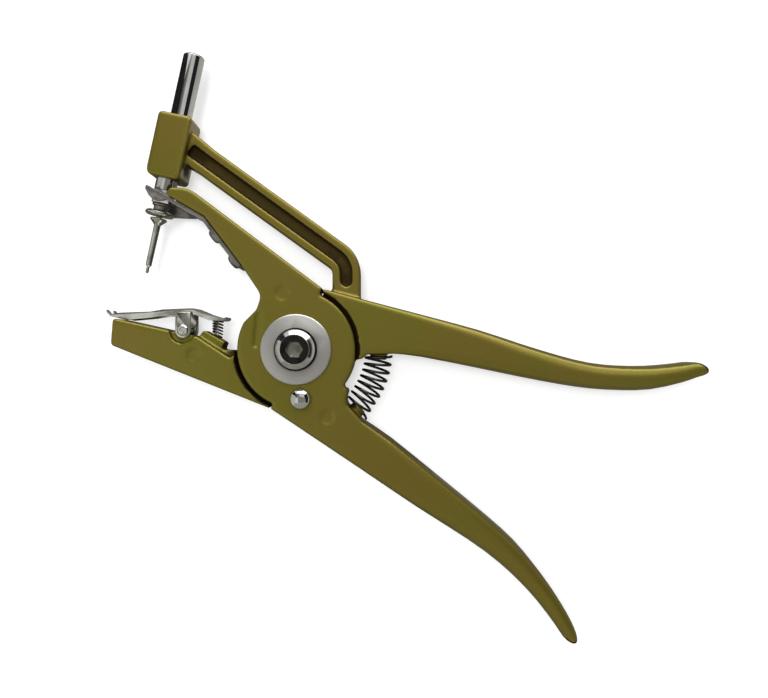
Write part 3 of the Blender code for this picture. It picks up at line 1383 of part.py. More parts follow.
def clip_spring_points(points_per_turn):
    """Coil between the boss and the lever's tail, which lies flat on both."""
    foot, foot_slope, head, head_slope = clip_spring_ends()
    lift = CLIP_SPRING_WIRE / 2 + SEAT_GAP
    start = foot + Vector((-math.sin(foot_slope), math.cos(foot_slope), 0)) * lift
    end = head - Vector((-math.sin(head_slope), math.cos(head_slope), 0)) * lift
    coil = CLIP_SPRING_RADIUS - CLIP_SPRING_WIRE / 2
    points = []
    total = CLIP_SPRING_TURNS * points_per_turn
    for index in range(total + 1):
        share = index / total
        turn = math.tau * index / points_per_turn
        slope = foot_slope + (head_slope - foot_slope) * share
        side = Vector((math.cos(slope), math.sin(slope), 0))
        out = Vector((0, 0, 1))
        points.append(start.lerp(end, share) + side * coil * math.cos(turn) + out * coil * math.sin(turn))
    return points


def least_gap(points, points_per_turn, diameter):
    """Smallest clear distance between parts of a wire more than half a turn apart."""
    nearest = math.inf
    apart = points_per_turn // 2 + 1
    for index, point in enumerate(points):
        for other in points[index + apart:]:
            nearest = min(nearest, (point - other).length)
    return nearest - diameter


def make_springs(materials):
    main = main_spring_points(POINTS_PER_TURN)
    wire("main_spring", with_straight_ends(main, MAIN_SPRING_WIRE), MAIN_SPRING_WIRE, materials["black_wire"])
    small = clip_spring_points(POINTS_PER_TURN)
    wire("clip_spring", with_straight_ends(small, CLIP_SPRING_WIRE), CLIP_SPRING_WIRE, materials["bright_wire"])
    fine = POINTS_PER_TURN * 6
    for name, points, diameter in (
        ("main_spring", main_spring_points(fine), MAIN_SPRING_WIRE),
        ("clip_spring", clip_spring_points(fine), CLIP_SPRING_WIRE),
    ):
        print(f"{name} least gap to itself: {least_gap(points, fine, diameter) * 1000:.2f} mm")


def make_materials():
    return {
        "paint": principled("olive_gold_paint", (0.145, 0.125, 0.030), 0.35, 0.38),
        "chrome": principled("chromed_steel", (0.62, 0.62, 0.60), 1.0, 0.10),
        "turned": principled("turned_steel", (0.42, 0.40, 0.38), 1.0, 0.32),
        "dark": principled("dark_pivot_steel", (0.10, 0.10, 0.10), 1.0, 0.22),
        "nickel": principled("nickel_plated_sheet", (0.50, 0.49, 0.46), 1.0, 0.24),
        "plain": principled("plain_steel", (0.22, 0.21, 0.20), 1.0, 0.34),
        "black_wire": principled("black_spring_wire", (0.02, 0.02, 0.02), 0.8, 0.35),
        "bright_wire": principled("bright_spring_wire", (0.35, 0.34, 0.32), 1.0, 0.28),
    }


def main():
    for obj in list(bpy.data.objects):
        bpy.data.objects.remove(obj, do_unlink=True)
    materials = make_materials()
    make_frame_casting(materials["paint"])
    make_drive_casting(materials["paint"])
    make_pivot_bolt(materials["dark"])
    make_pivot_nut(materials["turned"])
    make_washer("front_washer", FRONT_WASHER_Z, WASHER_RADIUS, WASHER_THICKNESS, WASHER_CHAMFER, materials["turned"])
    rear_z = NUT_HEAD_HEIGHT + SEAT_GAP
    make_washer("rear_washer", rear_z, WASHER_RADIUS, WASHER_THICKNESS, WASHER_CHAMFER, materials["turned"])
    thrust_z = REAR_LAP_Z - thrust_recess_depth() + SEAT_GAP
    chamfer = THRUST_WASHER_THICKNESS / 5
    make_washer("thrust_washer", thrust_z, THRUST_WASHER_RADIUS, THRUST_WASHER_THICKNESS, chamfer, materials["plain"])
    make_stop_pin(materials["chrome"])
    make_plunger_rod(materials["chrome"])
    make_needle_holder(materials["plain"])
    make_holder_collar(materials["nickel"])
    make_needle(materials["nickel"])
    make_fork_plate(materials["plain"])
    for name, place in zip(("fork_screw_upper", "fork_screw_lower"), screw_places()):
        make_fork_screw(name, place, materials["plain"])
    make_clip_lever(materials["nickel"])
    make_clip_yoke(materials["nickel"])
    make_clip_pin(materials["nickel"])
    make_springs(materials)
    print(f"rod travel {ROD_TRAVEL * 1000:.2f} mm, ratio {ROD_PER_RADIAN:.6f} m per radian")
    print(f"clip pivot {CLIP_PIVOT[0]:.6f} {CLIP_PIVOT[1]:.6f}, middle level {MID_Z:.6f}")


main()
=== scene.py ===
# %% [markdown]
# # Ear tag applicator
#
# These are pliers for livestock, and their name says what they do. Squeezing the handles drives a
# needle down through a slotted jaw, and a small sprung clip lies over that jaw. The big pieces are two
# castings with gold-olive enamel. Everything that slides, springs or fastens is steel.
#
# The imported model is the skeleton. It gives every body and its joint, so nothing is moved here: each
# piece is dressed where it lies.

import math

import bpy
import numpy as np
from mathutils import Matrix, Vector
from mathutils.bvhtree import BVHTree


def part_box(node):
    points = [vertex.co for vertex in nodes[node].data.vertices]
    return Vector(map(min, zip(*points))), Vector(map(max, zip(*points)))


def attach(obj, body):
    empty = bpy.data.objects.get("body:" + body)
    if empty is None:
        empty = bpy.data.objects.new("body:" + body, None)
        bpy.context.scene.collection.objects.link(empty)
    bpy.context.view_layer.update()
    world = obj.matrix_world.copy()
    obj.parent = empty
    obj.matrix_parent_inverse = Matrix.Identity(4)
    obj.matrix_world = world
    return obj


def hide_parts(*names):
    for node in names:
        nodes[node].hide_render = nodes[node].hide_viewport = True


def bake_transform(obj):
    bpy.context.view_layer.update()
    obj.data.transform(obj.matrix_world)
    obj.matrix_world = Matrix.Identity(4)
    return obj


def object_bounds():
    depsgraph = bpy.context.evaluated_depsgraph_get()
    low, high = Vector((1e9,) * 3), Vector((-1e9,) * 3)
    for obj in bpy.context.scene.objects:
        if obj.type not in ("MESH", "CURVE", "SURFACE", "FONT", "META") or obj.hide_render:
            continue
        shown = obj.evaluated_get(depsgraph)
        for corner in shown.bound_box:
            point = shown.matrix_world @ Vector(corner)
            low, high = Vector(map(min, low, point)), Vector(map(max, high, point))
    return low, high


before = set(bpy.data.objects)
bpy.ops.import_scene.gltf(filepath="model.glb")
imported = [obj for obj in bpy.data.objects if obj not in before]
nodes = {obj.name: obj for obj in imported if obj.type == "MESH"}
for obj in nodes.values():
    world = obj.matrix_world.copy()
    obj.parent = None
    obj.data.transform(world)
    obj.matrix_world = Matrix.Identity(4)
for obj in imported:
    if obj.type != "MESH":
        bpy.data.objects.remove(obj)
cad_box = [list(corner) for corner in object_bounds()]
MM = 0.001

whole_size = [round((high - low) / MM, 1) for low, high in zip(*cad_box)]
print("pieces in the frame:", len(nodes), " size in mm:", whole_size)

# %% [markdown]
# ## The camera
#
# A photograph's viewpoint can be worked out from how much larger the near faces look than the far ones.
# Here the tool lies on its back and the camera looks straight down at it from about a third of a metre.
# A focal length given in pixels is easy to measure in a picture. Blender wants it in millimetres on a
# sensor, and the two differ only by the sensor's width over the picture's width.

# %% Camera above the front face
PHOTO_WIDTH = 768
FOCAL_PIXELS = 811.1
SENSOR_WIDTH = 36.0
CAMERA_HEIGHT_MM = 335.0
CAMERA_X_MM = 36.34
CAMERA_Y_MM = 0.21

front_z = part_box("drive_lever")[1].z
back_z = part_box("drive_lever")[0].z
mid_z = (front_z + back_z) / 2

camera_data = bpy.data.cameras.new("straight_down")
camera_data.sensor_width = SENSOR_WIDTH
camera_data.lens = SENSOR_WIDTH * FOCAL_PIXELS / PHOTO_WIDTH
camera_data.clip_start = 0.01
camera = bpy.data.objects.new("straight_down", camera_data)
camera.location = (CAMERA_X_MM * MM, CAMERA_Y_MM * MM, front_z + CAMERA_HEIGHT_MM * MM)
bpy.context.scene.collection.objects.link(camera)
bpy.context.scene.camera = camera
print("lens:", round(camera_data.lens, 2), "mm")

# %% [markdown]
# ## Dressing a casting
#
# A casting has no sharp edges. Metal shrinks in the mould, paint pulls into the corners, and every wall
# runs into the next one over a small fillet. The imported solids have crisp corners, which catch the
# light too hard. One way to soften them is to bevel each edge, but edges that a Boolean has cut are
# hard to bevel. Here the solid is copied, rebuilt from even little cells with the Remesh modifier, and
# then relaxed with the Smooth modifier. Each corner, inner or outer, gets a soft radius of a cell or
# two, as thick paint would give.

# %% Helpers for new pieces
WELD_MM = 0.002


def welded_copy(node, name):
    """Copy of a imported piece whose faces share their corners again."""
    mesh = nodes[node].data.copy()
    mesh.name = name
    piece = bpy.data.objects.new(name, mesh)
    bpy.context.scene.collection.objects.link(piece)
    weld = piece.modifiers.new("weld", "WELD")
    weld.merge_threshold = WELD_MM * MM
    return piece


def baked(piece):
    """Replace a piece's mesh by what its modifiers make of it."""
    graph = bpy.context.evaluated_depsgraph_get()
    mesh = bpy.data.meshes.new_from_object(piece.evaluated_get(graph))
    mesh.name = piece.name
    piece.modifiers.clear()
    piece.data = mesh
    return piece


def relaxed_copy(node, name, cell_mm, passes):
    """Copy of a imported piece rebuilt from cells, with every corner rounded by the smoothing passes."""
    piece = welded_copy(node, name)
    remesh = piece.modifiers.new("cells", "REMESH")
    remesh.mode = "VOXEL"
    remesh.voxel_size = cell_mm * MM
    remesh.use_smooth_shade = True
    smooth = piece.modifiers.new("relax", "SMOOTH")
    smooth.factor = 0.5
    smooth.iterations = passes
    baked(piece)
    piece.data.shade_smooth()
    print(name, "has", len(piece.data.polygons), "faces")
    return piece


CASTING_CELL_MM = 0.55
CASTING_PASSES = 6
painted_frame = relaxed_copy("frame_casting", "painted_frame", CASTING_CELL_MM, CASTING_PASSES)
painted_lever = relaxed_copy("drive_lever", "painted_lever", CASTING_CELL_MM, CASTING_PASSES)

# %% [markdown]
# ## The ends of the handles
#
# A cast handle ends in a blunt, slightly worn nose, and a few millimetres of it show clearly in the
# outline. Such a small change could be made by hand in Edit Mode. Here a short function does it: it
# finds the outermost point of the handle and presses the points near it back along the handle's own
# line, the nearer the tip the more, so that the sides run into the nose without a step.

# %% Blunter tips of the two handles
TIP_REACH_MM = 16.0
TIP_EASE = 1.5
UPPER_TIP_HEADING = 8.0
UPPER_TIP_BACK_MM = 2.7
LOWER_TIP_HEADING = -66.0
LOWER_TIP_BACK_MM = 2.3


def blunter_tip(piece, tip, heading, by_mm):
    """Press the end of a handle back along its heading in degrees, more the nearer the tip."""
    angle = math.radians(heading)
    line = Vector((math.cos(angle), math.sin(angle), 0))
    reach = TIP_REACH_MM * MM
    for vertex in piece.data.vertices:
        behind = (tip - vertex.co).dot(line)
        if behind < reach and (tip - vertex.co).length < 2 * reach:
            vertex.co -= line * by_mm * MM * (1 - max(behind, 0) / reach) ** TIP_EASE


upper_tip = max((vertex.co.copy() for vertex in painted_frame.data.vertices), key=lambda point: point.x)
lower_tip = min((vertex.co.copy() for vertex in painted_lever.data.vertices), key=lambda point: point.y)
blunter_tip(painted_frame, upper_tip, UPPER_TIP_HEADING, UPPER_TIP_BACK_MM)
blunter_tip(painted_lever, lower_tip, LOWER_TIP_HEADING, LOWER_TIP_BACK_MM)
print("tips in mm:", [round(value / MM, 1) for point in (upper_tip, lower_tip) for value in point])

# %% [markdown]
# ## Where a casting is sheltered
#
# Light hardly reaches the bottom of a groove, so there the enamel's colour is darkened with painted
# shade, and the surface is made duller too. A shader can't see its surroundings in a way that every
# program keeps, so the shelter is measured once: from each point a fan of short rays is cast, and the
# share of them that meets one of the two castings is stored on the mesh. The small steel pieces are
# left out, since the enamel round them is as bright as elsewhere. The enamel then reads that number.

# %% Measure the shelter of each point
SHELTER_RAYS = 26
SHELTER_REACH_MM = 9.0
SHELTER_LIFT_MM = 0.25
SHELTER_PASSES = 3


def fan_of_rays(count):
    """Directions spread evenly over the half sphere round +Z, denser towards the top."""
    golden = math.pi * (3 - math.sqrt(5))
    fan = []
    for index in range(count):
        rise = math.sqrt(1 - (index + 0.5) / count)
        side = math.sqrt(1 - rise * rise)
        fan.append(Vector((side * math.cos(golden * index), side * math.sin(golden * index), rise)))
    return fan


def both_castings():
    """Search tree of the two packed castings at rest."""
    corners = []
    faces = []
    for name in ("frame_casting", "drive_lever"):
        node = nodes[name]
        start = len(corners)
        corners += [vertex.co.copy() for vertex in node.data.vertices]
        faces += [[start + index for index in polygon.vertices] for polygon in node.data.polygons]
    return BVHTree.FromPolygons(corners, faces)


def measure_shelter(piece, tree):
    """Store on each point the share of rays that meet a casting close by."""
    mesh = piece.data
    fan = fan_of_rays(SHELTER_RAYS)
    values = np.zeros(len(mesh.vertices))
    for vertex in mesh.vertices:
        turn = vertex.normal.to_track_quat("Z", "Y").to_matrix()
        start = vertex.co + vertex.normal * SHELTER_LIFT_MM * MM
        hits = 0
        for ray in fan:
            if tree.ray_cast(start, turn @ ray, SHELTER_REACH_MM * MM)[0] is not None:
                hits += 1
        values[vertex.index] = hits / SHELTER_RAYS
    ends = np.empty(len(mesh.edges) * 2, np.int64)
    mesh.edges.foreach_get("vertices", ends)
    ends = ends.reshape(-1, 2)
    near = np.bincount(ends.ravel(), minlength=len(values))
    for _ in range(SHELTER_PASSES):
        total = np.bincount(ends[:, 0], values[ends[:, 1]], len(values))
        total += np.bincount(ends[:, 1], values[ends[:, 0]], len(values))
        values = (values + total) / (1 + near)
    attribute = mesh.attributes.new("shelter", "FLOAT", "POINT")
    attribute.data.foreach_set("value", values.astype(np.float32))
    print(piece.name, "shelter up to", round(float(values.max()), 2))


casting_tree = both_castings()
measure_shelter(painted_frame, casting_tree)
measure_shelter(painted_lever, casting_tree)

# %% [markdown]
# ## Building a finish
#
# A hex colour from a picture is made for the screen, and a shader adds up light, which needs the linear
# value. One function turns the first into the second. One more adds a node, with its settings and with
# the links that feed it, so that each material below reads from top to bottom. Patterns are placed by
# the piece's own coordinates in metres, so a pattern of so many millimetres has a scale of 1000 over
# that number, and it stays on the piece when the piece moves.

# %% Helpers for materials
def linear(hex_colour):
    """Linear colour of an sRGB hex value."""
    channels = [int(hex_colour[start:start + 2], 16) / 255 for start in (1, 3, 5)]
    return [c / 12.92 if c <= 0.04045 else ((c + 0.055) / 1.055) ** 2.4 for c in channels] + [1.0]


def add_node(tree, kind, settings=None, links=None):
    """Add a node, set its sockets or its own values by name, and link outputs into its sockets."""
    node = tree.nodes.new(kind)
    for name, value in (settings or {}).items():
        if isinstance(name, int) or name in node.inputs:
            node.inputs[name].default_value = value
        else:
            setattr(node, name, value)
    for name, output in (links or {}).items():
        tree.links.new(output, node.inputs[name])
    return node


def start_material(name, hex_colour, metallic, roughness):
    """New material with its main shader's three usual values."""
    material = bpy.data.materials.new(name)
    material.use_nodes = True
    tree = material.node_tree
    shader = tree.nodes["Principled BSDF"]
    shader.inputs["Base Color"].default_value = linear(hex_colour)
    shader.inputs["Metallic"].default_value = metallic
    shader.inputs["Roughness"].default_value = roughness
    place = add_node(tree, "ShaderNodeTexCoord").outputs["Object"]
    return material, tree, shader, place


def per_metre(size_mm):
    """Texture scale that makes a pattern of this size."""
    return 1000 / size_mm


# A Mix node has a set of sockets for each kind of data under the same names, so those of its colours
# are called by number.
FACTOR, FIRST, SECOND, MIXED = 0, 6, 7, 2

# %% [markdown]
# ## Gold-olive enamel
#
# The castings are sprayed with a metallic enamel: gold flake in an olive binder, under a little gloss.
# On the flat faces it looks brown-olive and on the rounded edges a paler yellow-olive. In the grooves
# it looks nearly black-brown, which is painted shade here. It could be mixed from two shaders, but one
# Principled shader that is about two thirds metal does the same and keeps its look in other programs.
# The colour drifts slowly between olive and brown, the flake is a fine grain, and the sprayed skin has
# the faint waviness of orange peel. Where the shelter is high, a painted shade takes the colour to dark
# brown, the surface gets dull and the clear coat fades out. The real flake is about 0.05 mm, which is
# too fine to show here, so it is drawn at 0.7 mm and kept weak.

# %% Enamel of the castings
ENAMEL_OLIVE = "#777026"
ENAMEL_BROWN = "#7C6E2A"
ENAMEL_FLAKE = "#8D873C"
# The next colour is painted shade for the grooves and sheltered corners.
ENAMEL_PAINTED_SHADE = "#2A1812"
DRIFT_MM = 38
FLAKE_MM = 0.7
PEEL_MM = 1.6
PEEL_DEPTH_MM = 0.012

enamel, tree, shader, place = start_material(
    "gold_olive_enamel", ENAMEL_OLIVE, metallic=0.64, roughness=0.38
)
drift = add_node(
    tree,
    "ShaderNodeTexNoise",
    {"Scale": per_metre(DRIFT_MM), "Detail": 2.0},
    {"Vector": place},
)
drift_step = add_node(
    tree,
    "ShaderNodeMapRange",
    {"interpolation_type": "SMOOTHSTEP", "From Min": 0.38, "From Max": 0.62},
    {"Value": drift.outputs["Fac"]},
)
tone = add_node(
    tree,
    "ShaderNodeMix",
    {"data_type": "RGBA", FIRST: linear(ENAMEL_OLIVE), SECOND: linear(ENAMEL_BROWN)},
    {FACTOR: drift_step.outputs["Result"]},
)
flake = add_node(
    tree,
    "ShaderNodeTexNoise",
    {"Scale": per_metre(FLAKE_MM), "Detail": 1.0},
    {"Vector": place},
)
flake_step = add_node(
    tree,
    "ShaderNodeMapRange",
    {"From Min": 0.45, "From Max": 0.75, "To Max": 0.20},
    {"Value": flake.outputs["Fac"]},
)
flaked = add_node(
    tree,
    "ShaderNodeMix",
    {"data_type": "RGBA", SECOND: linear(ENAMEL_FLAKE)},
    {FACTOR: flake_step.outputs["Result"], FIRST: tone.outputs[MIXED]},
)
shelter = add_node(tree, "ShaderNodeAttribute", {"attribute_name": "shelter"})
# Painted shade: where the shelter is high, the colour is taken towards dark brown.
painted_shade = add_node(
    tree,
    "ShaderNodeMapRange",
    {"interpolation_type": "SMOOTHSTEP", "From Min": 0.20, "From Max": 0.44, "To Max": 0.88},
    {"Value": shelter.outputs["Fac"]},
)
coat = add_node(
    tree,
    "ShaderNodeMix",
    {"data_type": "RGBA", SECOND: linear(ENAMEL_PAINTED_SHADE)},
    {FACTOR: painted_shade.outputs["Result"], FIRST: flaked.outputs[MIXED]},
)
tree.links.new(coat.outputs[MIXED], shader.inputs["Base Color"])
dullness = add_node(
    tree,
    "ShaderNodeMapRange",
    {"To Min": 0.37, "To Max": 0.75},
    {"Value": painted_shade.outputs["Result"]},
)
tree.links.new(dullness.outputs["Result"], shader.inputs["Roughness"])
peel = add_node(
    tree,
    "ShaderNodeTexNoise",
    {"Scale": per_metre(PEEL_MM), "Detail": 2.0},
    {"Vector": place},
)
skin = add_node(
    tree,
    "ShaderNodeBump",
    {"Distance": PEEL_DEPTH_MM * MM, "Strength": 0.6},
    {"Height": peel.outputs["Fac"]},
)
tree.links.new(skin.outputs["Normal"], shader.inputs["Normal"])
shader.inputs["Specular IOR Level"].default_value = 0.2
clear_coat = add_node(
    tree,
    "ShaderNodeMapRange",
    {"To Min": 0.25, "To Max": 0.0},
    {"Value": painted_shade.outputs["Result"]},
)
tree.links.new(clear_coat.outputs["Result"], shader.inputs["Coat Weight"])
shader.inputs["Coat Roughness"].default_value = 0.15

for piece, node, body in (
    (painted_frame, "frame_casting", "frame"),
    (painted_lever, "drive_lever", "lever"),
):
    piece.data.materials.clear()
    piece.data.materials.append(enamel)
    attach(piece, body)
    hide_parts(node)
print("enamelled castings:", painted_frame.name, painted_lever.name)

# %% [markdown]
# ## Steel, by how it was finished
#
# All the other pieces are steel, and only the way that each surface was finished tells them apart. Each
# could have a material of its own from the start, but they differ in a few numbers only, so they share
# one recipe: a base colour and a roughness that drift together in soft clouds, and a very small bump.
# Chrome makes the clouds faint and the surface smooth, rolling makes them strong, and blackening makes
# the metal dark with a thin shine. The real grain of such surfaces is a few hundredths of a millimetre,
# so it is drawn coarser here, at 0.6 to 1.2 mm, and very shallow.

# %% Recipe for a steel surface
def steel(name, hex_colour, dark_hex, roughness, cloud_mm, grain_mm, grain_depth_mm):
    """Steel whose colour and roughness drift in clouds, under a shallow grain."""
    material, tree, shader, place = start_material(name, hex_colour, metallic=1.0, roughness=roughness)
    cloud = add_node(
        tree,
        "ShaderNodeTexNoise",
        {"Scale": per_metre(cloud_mm), "Detail": 3.0},
        {"Vector": place},
    )
    clouded = add_node(
        tree,
        "ShaderNodeMapRange",
        {"interpolation_type": "SMOOTHSTEP", "From Min": 0.42, "From Max": 0.68},
        {"Value": cloud.outputs["Fac"]},
    )
    colour = add_node(
        tree,
        "ShaderNodeMix",
        {"data_type": "RGBA", FIRST: linear(hex_colour), SECOND: linear(dark_hex)},
        {FACTOR: clouded.outputs["Result"]},
    )
    tree.links.new(colour.outputs[MIXED], shader.inputs["Base Color"])
    dull = add_node(
        tree,
        "ShaderNodeMapRange",
        {"From Min": 0.3, "From Max": 0.7, "To Min": roughness * 0.8, "To Max": roughness * 1.35},
        {"Value": cloud.outputs["Fac"]},
    )
    tree.links.new(dull.outputs["Result"], shader.inputs["Roughness"])
    grain = add_node(tree, "ShaderNodeTexNoise", {"Scale": per_metre(grain_mm)}, {"Vector": place})
    bump = add_node(
        tree,
        "ShaderNodeBump",
        {"Distance": grain_depth_mm * MM, "Strength": 0.5},
        {"Height": grain.outputs["Fac"]},
    )
    tree.links.new(bump.outputs["Normal"], shader.inputs["Normal"])
    return material


# The numbers are the roughness, the clouds and the grain in mm, and the depth of the grain in mm.
# Nickel over pressed or turned steel: warm and bright, a little milky.
nickel_plate = steel("nickel_plate", "#DADAD3", "#B4B4AB", 0.16, 6.0, 0.9, 0.010)
# Bare rolled strip: grey and soft, with cloudy patches.
rolled_strip = steel("rolled_strip", "#AAA5A1", "#7A7572", 0.34, 5.0, 0.8, 0.014)
# Hard chrome over ground steel: nearly a mirror, in crisp light and dark bands.
hard_chrome = steel("hard_chrome", "#D8D8D6", "#C4C4C3", 0.07, 12.0, 1.2, 0.003)
# Drawn spring wire, blackened: dark, with a thin line of light.
blackened_wire = steel("blackened_wire", "#5A5854", "#3A3835", 0.22, 3.0, 0.6, 0.010)
# Drawn spring wire, bare: mid grey and silky.
bright_wire = steel("bright_wire", "#A5A49F", "#7C7B77", 0.2, 3.0, 0.6, 0.006)
# Turned and buffed bevel of the bolt: bright and sharp.
polished_bolt = steel("polished_bolt", "#D2D2CE", "#BDBDB8", 0.12, 8.0, 0.9, 0.004)
# Blackened steel of the bolt's face, also painted shade on its foot and wall: dark and soft.
blackened_face_and_gap_shade = steel("blackened_face_and_gap_shade", "#3A3A36", "#242422", 0.35, 4.0, 0.8, 0.010)
# Pressed hexagon of the bolt: pale, uneven grey, painted light for the light that bounces inside it.
socket_painted_light = steel("socket_painted_light", "#A8A8A0", "#8C8C84", 0.42, 3.0, 0.7, 0.020)
steels = (nickel_plate, rolled_strip, hard_chrome, blackened_wire, bright_wire)
bolt_steels = (polished_bolt, blackened_face_and_gap_shade, socket_painted_light)
print("steels:", [material.name for material in steels + bolt_steels])

# %% [markdown]
# ## Turned washers
#
# A washer faced on a lathe carries one long spiral scratch. Each ring of it is a tiny groove, so light
# spreads across the rings and a highlight becomes a fan that turns with the viewer. Many real rings
# could be modelled, but they would be too fine. The shader does this with anisotropy, given a tangent
# that runs round the axis, and a rotation of a quarter turn lays the highlight across the rings. The
# rings themselves are drawn from the distance to the pivot's axis. The real ones are 0.1 mm apart, and
# here they are 0.45 mm, the finest that shows.

# %% Turned steel of the washers
RING_MM = 0.45
RING_DEPTH_MM = 0.004
TURNED_STEEL = "#DEDCDA"
TURNED_LIGHT = "#E2E0DF"
TURNED_DARK = "#D2CFC9"
QUARTER_TURN = 0.25

turned_steel, tree, shader, place = start_material(
    "turned_steel", TURNED_STEEL, metallic=1.0, roughness=0.52
)
flat_place = add_node(
    tree,
    "ShaderNodeVectorMath",
    {"operation": "MULTIPLY", 1: (1.0, 1.0, 0.0)},
    {0: place},
)
distance = add_node(
    tree,
    "ShaderNodeVectorMath",
    {"operation": "LENGTH"},
    {0: flat_place.outputs["Vector"]},
)
rings = add_node(
    tree,
    "ShaderNodeTexNoise",
    {"noise_dimensions": "1D", "Scale": per_metre(RING_MM), "Detail": 2.0},
    {"W": distance.outputs["Value"]},
)
ring_dull = add_node(
    tree,
    "ShaderNodeMapRange",
    {"From Min": 0.3, "From Max": 0.7, "To Min": 0.46, "To Max": 0.56},
    {"Value": rings.outputs["Fac"]},
)
tree.links.new(ring_dull.outputs["Result"], shader.inputs["Roughness"])
ring_tone = add_node(
    tree,
    "ShaderNodeMix",
    {"data_type": "RGBA", FIRST: linear(TURNED_LIGHT), SECOND: linear(TURNED_DARK)},
    {FACTOR: rings.outputs["Fac"]},
)
tree.links.new(ring_tone.outputs[MIXED], shader.inputs["Base Color"])
ring_bump = add_node(
    tree,
    "ShaderNodeBump",
    {"Distance": RING_DEPTH_MM * MM, "Strength": 0.5},
    {"Height": rings.outputs["Fac"]},
)
tree.links.new(ring_bump.outputs["Normal"], shader.inputs["Normal"])
round_axis = add_node(tree, "ShaderNodeTangent", {"direction_type": "RADIAL", "axis": "Z"})
tree.links.new(round_axis.outputs["Tangent"], shader.inputs["Tangent"])
shader.inputs["Anisotropic"].default_value = 0.5
shader.inputs["Anisotropic Rotation"].default_value = QUARTER_TURN
print("ring scale per metre:", round(per_metre(RING_MM)))

# %% [markdown]
# ## Small steel pieces
#
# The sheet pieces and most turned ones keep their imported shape. Only their edges change: a sheared or
# turned edge is never a perfect corner, and the thin bright line along it is what makes steel look like
# steel. The edges could be rounded by the Remesh modifier as those of the castings are, but that would
# blur them. So the copy's flat faces are joined up with the Decimate modifier, which leaves clean edges
# for the Bevel modifier to work on.

# %% Sheet and turned pieces with broken edges
SMOOTH_ANGLE = math.radians(32)
FLAT_ANGLE = math.radians(1.5)


def crisp_copy(node, name, edge_mm):
    """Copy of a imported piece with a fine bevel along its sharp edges."""
    piece = welded_copy(node, name)
    joined = piece.modifiers.new("joined", "DECIMATE")
    joined.decimate_type = "DISSOLVE"
    joined.angle_limit = FLAT_ANGLE
    bevel = piece.modifiers.new("edges", "BEVEL")
    bevel.width = edge_mm * MM
    bevel.segments = 2
    bevel.limit_method = "ANGLE"
    bevel.angle_limit = SMOOTH_ANGLE
    baked(piece)
    piece.data.shade_smooth()
    piece.data.set_sharp_from_angle(angle=SMOOTH_ANGLE)
    return piece


# Each row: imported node, new piece, body, slot, material, width of its edge in mm.
SMALL_PIECES = (
    ("pivot_nut", "sleeve_nut", "frame", "turned_steel", turned_steel, 0.20),
    ("front_washer", "turned_front_washer", "frame", "turned_steel", turned_steel, 0.12),
    ("rear_washer", "turned_rear_washer", "frame", "turned_steel", turned_steel, 0.12),
    ("thrust_washer", "bearing_ring", "frame", "plain_steel", rolled_strip, 0.10),
    ("fork_plate", "bent_fork_strip", "lever", "plain_steel", rolled_strip, 0.15),
    ("fork_screw_upper", "upper_strip_screw", "lever", "plain_steel", rolled_strip, 0.12),
    ("fork_screw_lower", "lower_strip_screw", "lever", "plain_steel", rolled_strip, 0.12),
    ("plunger_rod", "ground_rod", "plunger", "chromed_steel", hard_chrome, 0.15),
    ("needle_holder", "turned_holder", "plunger", "plain_steel", rolled_strip, 0.12),
    ("holder_collar", "plated_collar", "plunger", "nickel", nickel_plate, 0.12),
    ("needle", "plated_needle", "plunger", "nickel", nickel_plate, 0.10),
    ("clip_lever", "pressed_clip", "clip", "nickel", nickel_plate, 0.25),
    ("clip_yoke", "bent_yoke", "clip", "nickel", nickel_plate, 0.35),
)
for node, name, body, slot, material, edge_mm in SMALL_PIECES:
    piece = crisp_copy(node, name, edge_mm)
    piece.data.materials.clear()
    piece.data.materials.append(material)
    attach(piece, body)
    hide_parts(node)
print("small steel pieces:", len(SMALL_PIECES))

# %% [markdown]
# ## Bolt, rivet and stop pin from the lathe
#
# Three pieces are so bright and round that flat facets would show in them. A Subdivision Surface could
# smooth them, but it would also soften the hexagon. So they are turned anew, each from its own profile
# in many fine steps, as a lathe does it. The bolt's broad bevel is polished and its face is blackened.
# The hexagon pressed into it is paler, painted light for the light that bounces inside, and a thin black
# ring round its foot and up its wall is painted shade for the dark gap round the head. The rivet of the
# clip has a small dish in both of its heads, and the stop pin is a plain chromed dome.
# All three stay inside the imported shapes.

# %% Turned pieces
ROUND_STEPS = 96
HEX_STEPS = ROUND_STEPS // 6
TURNED_ANGLE = math.radians(14)


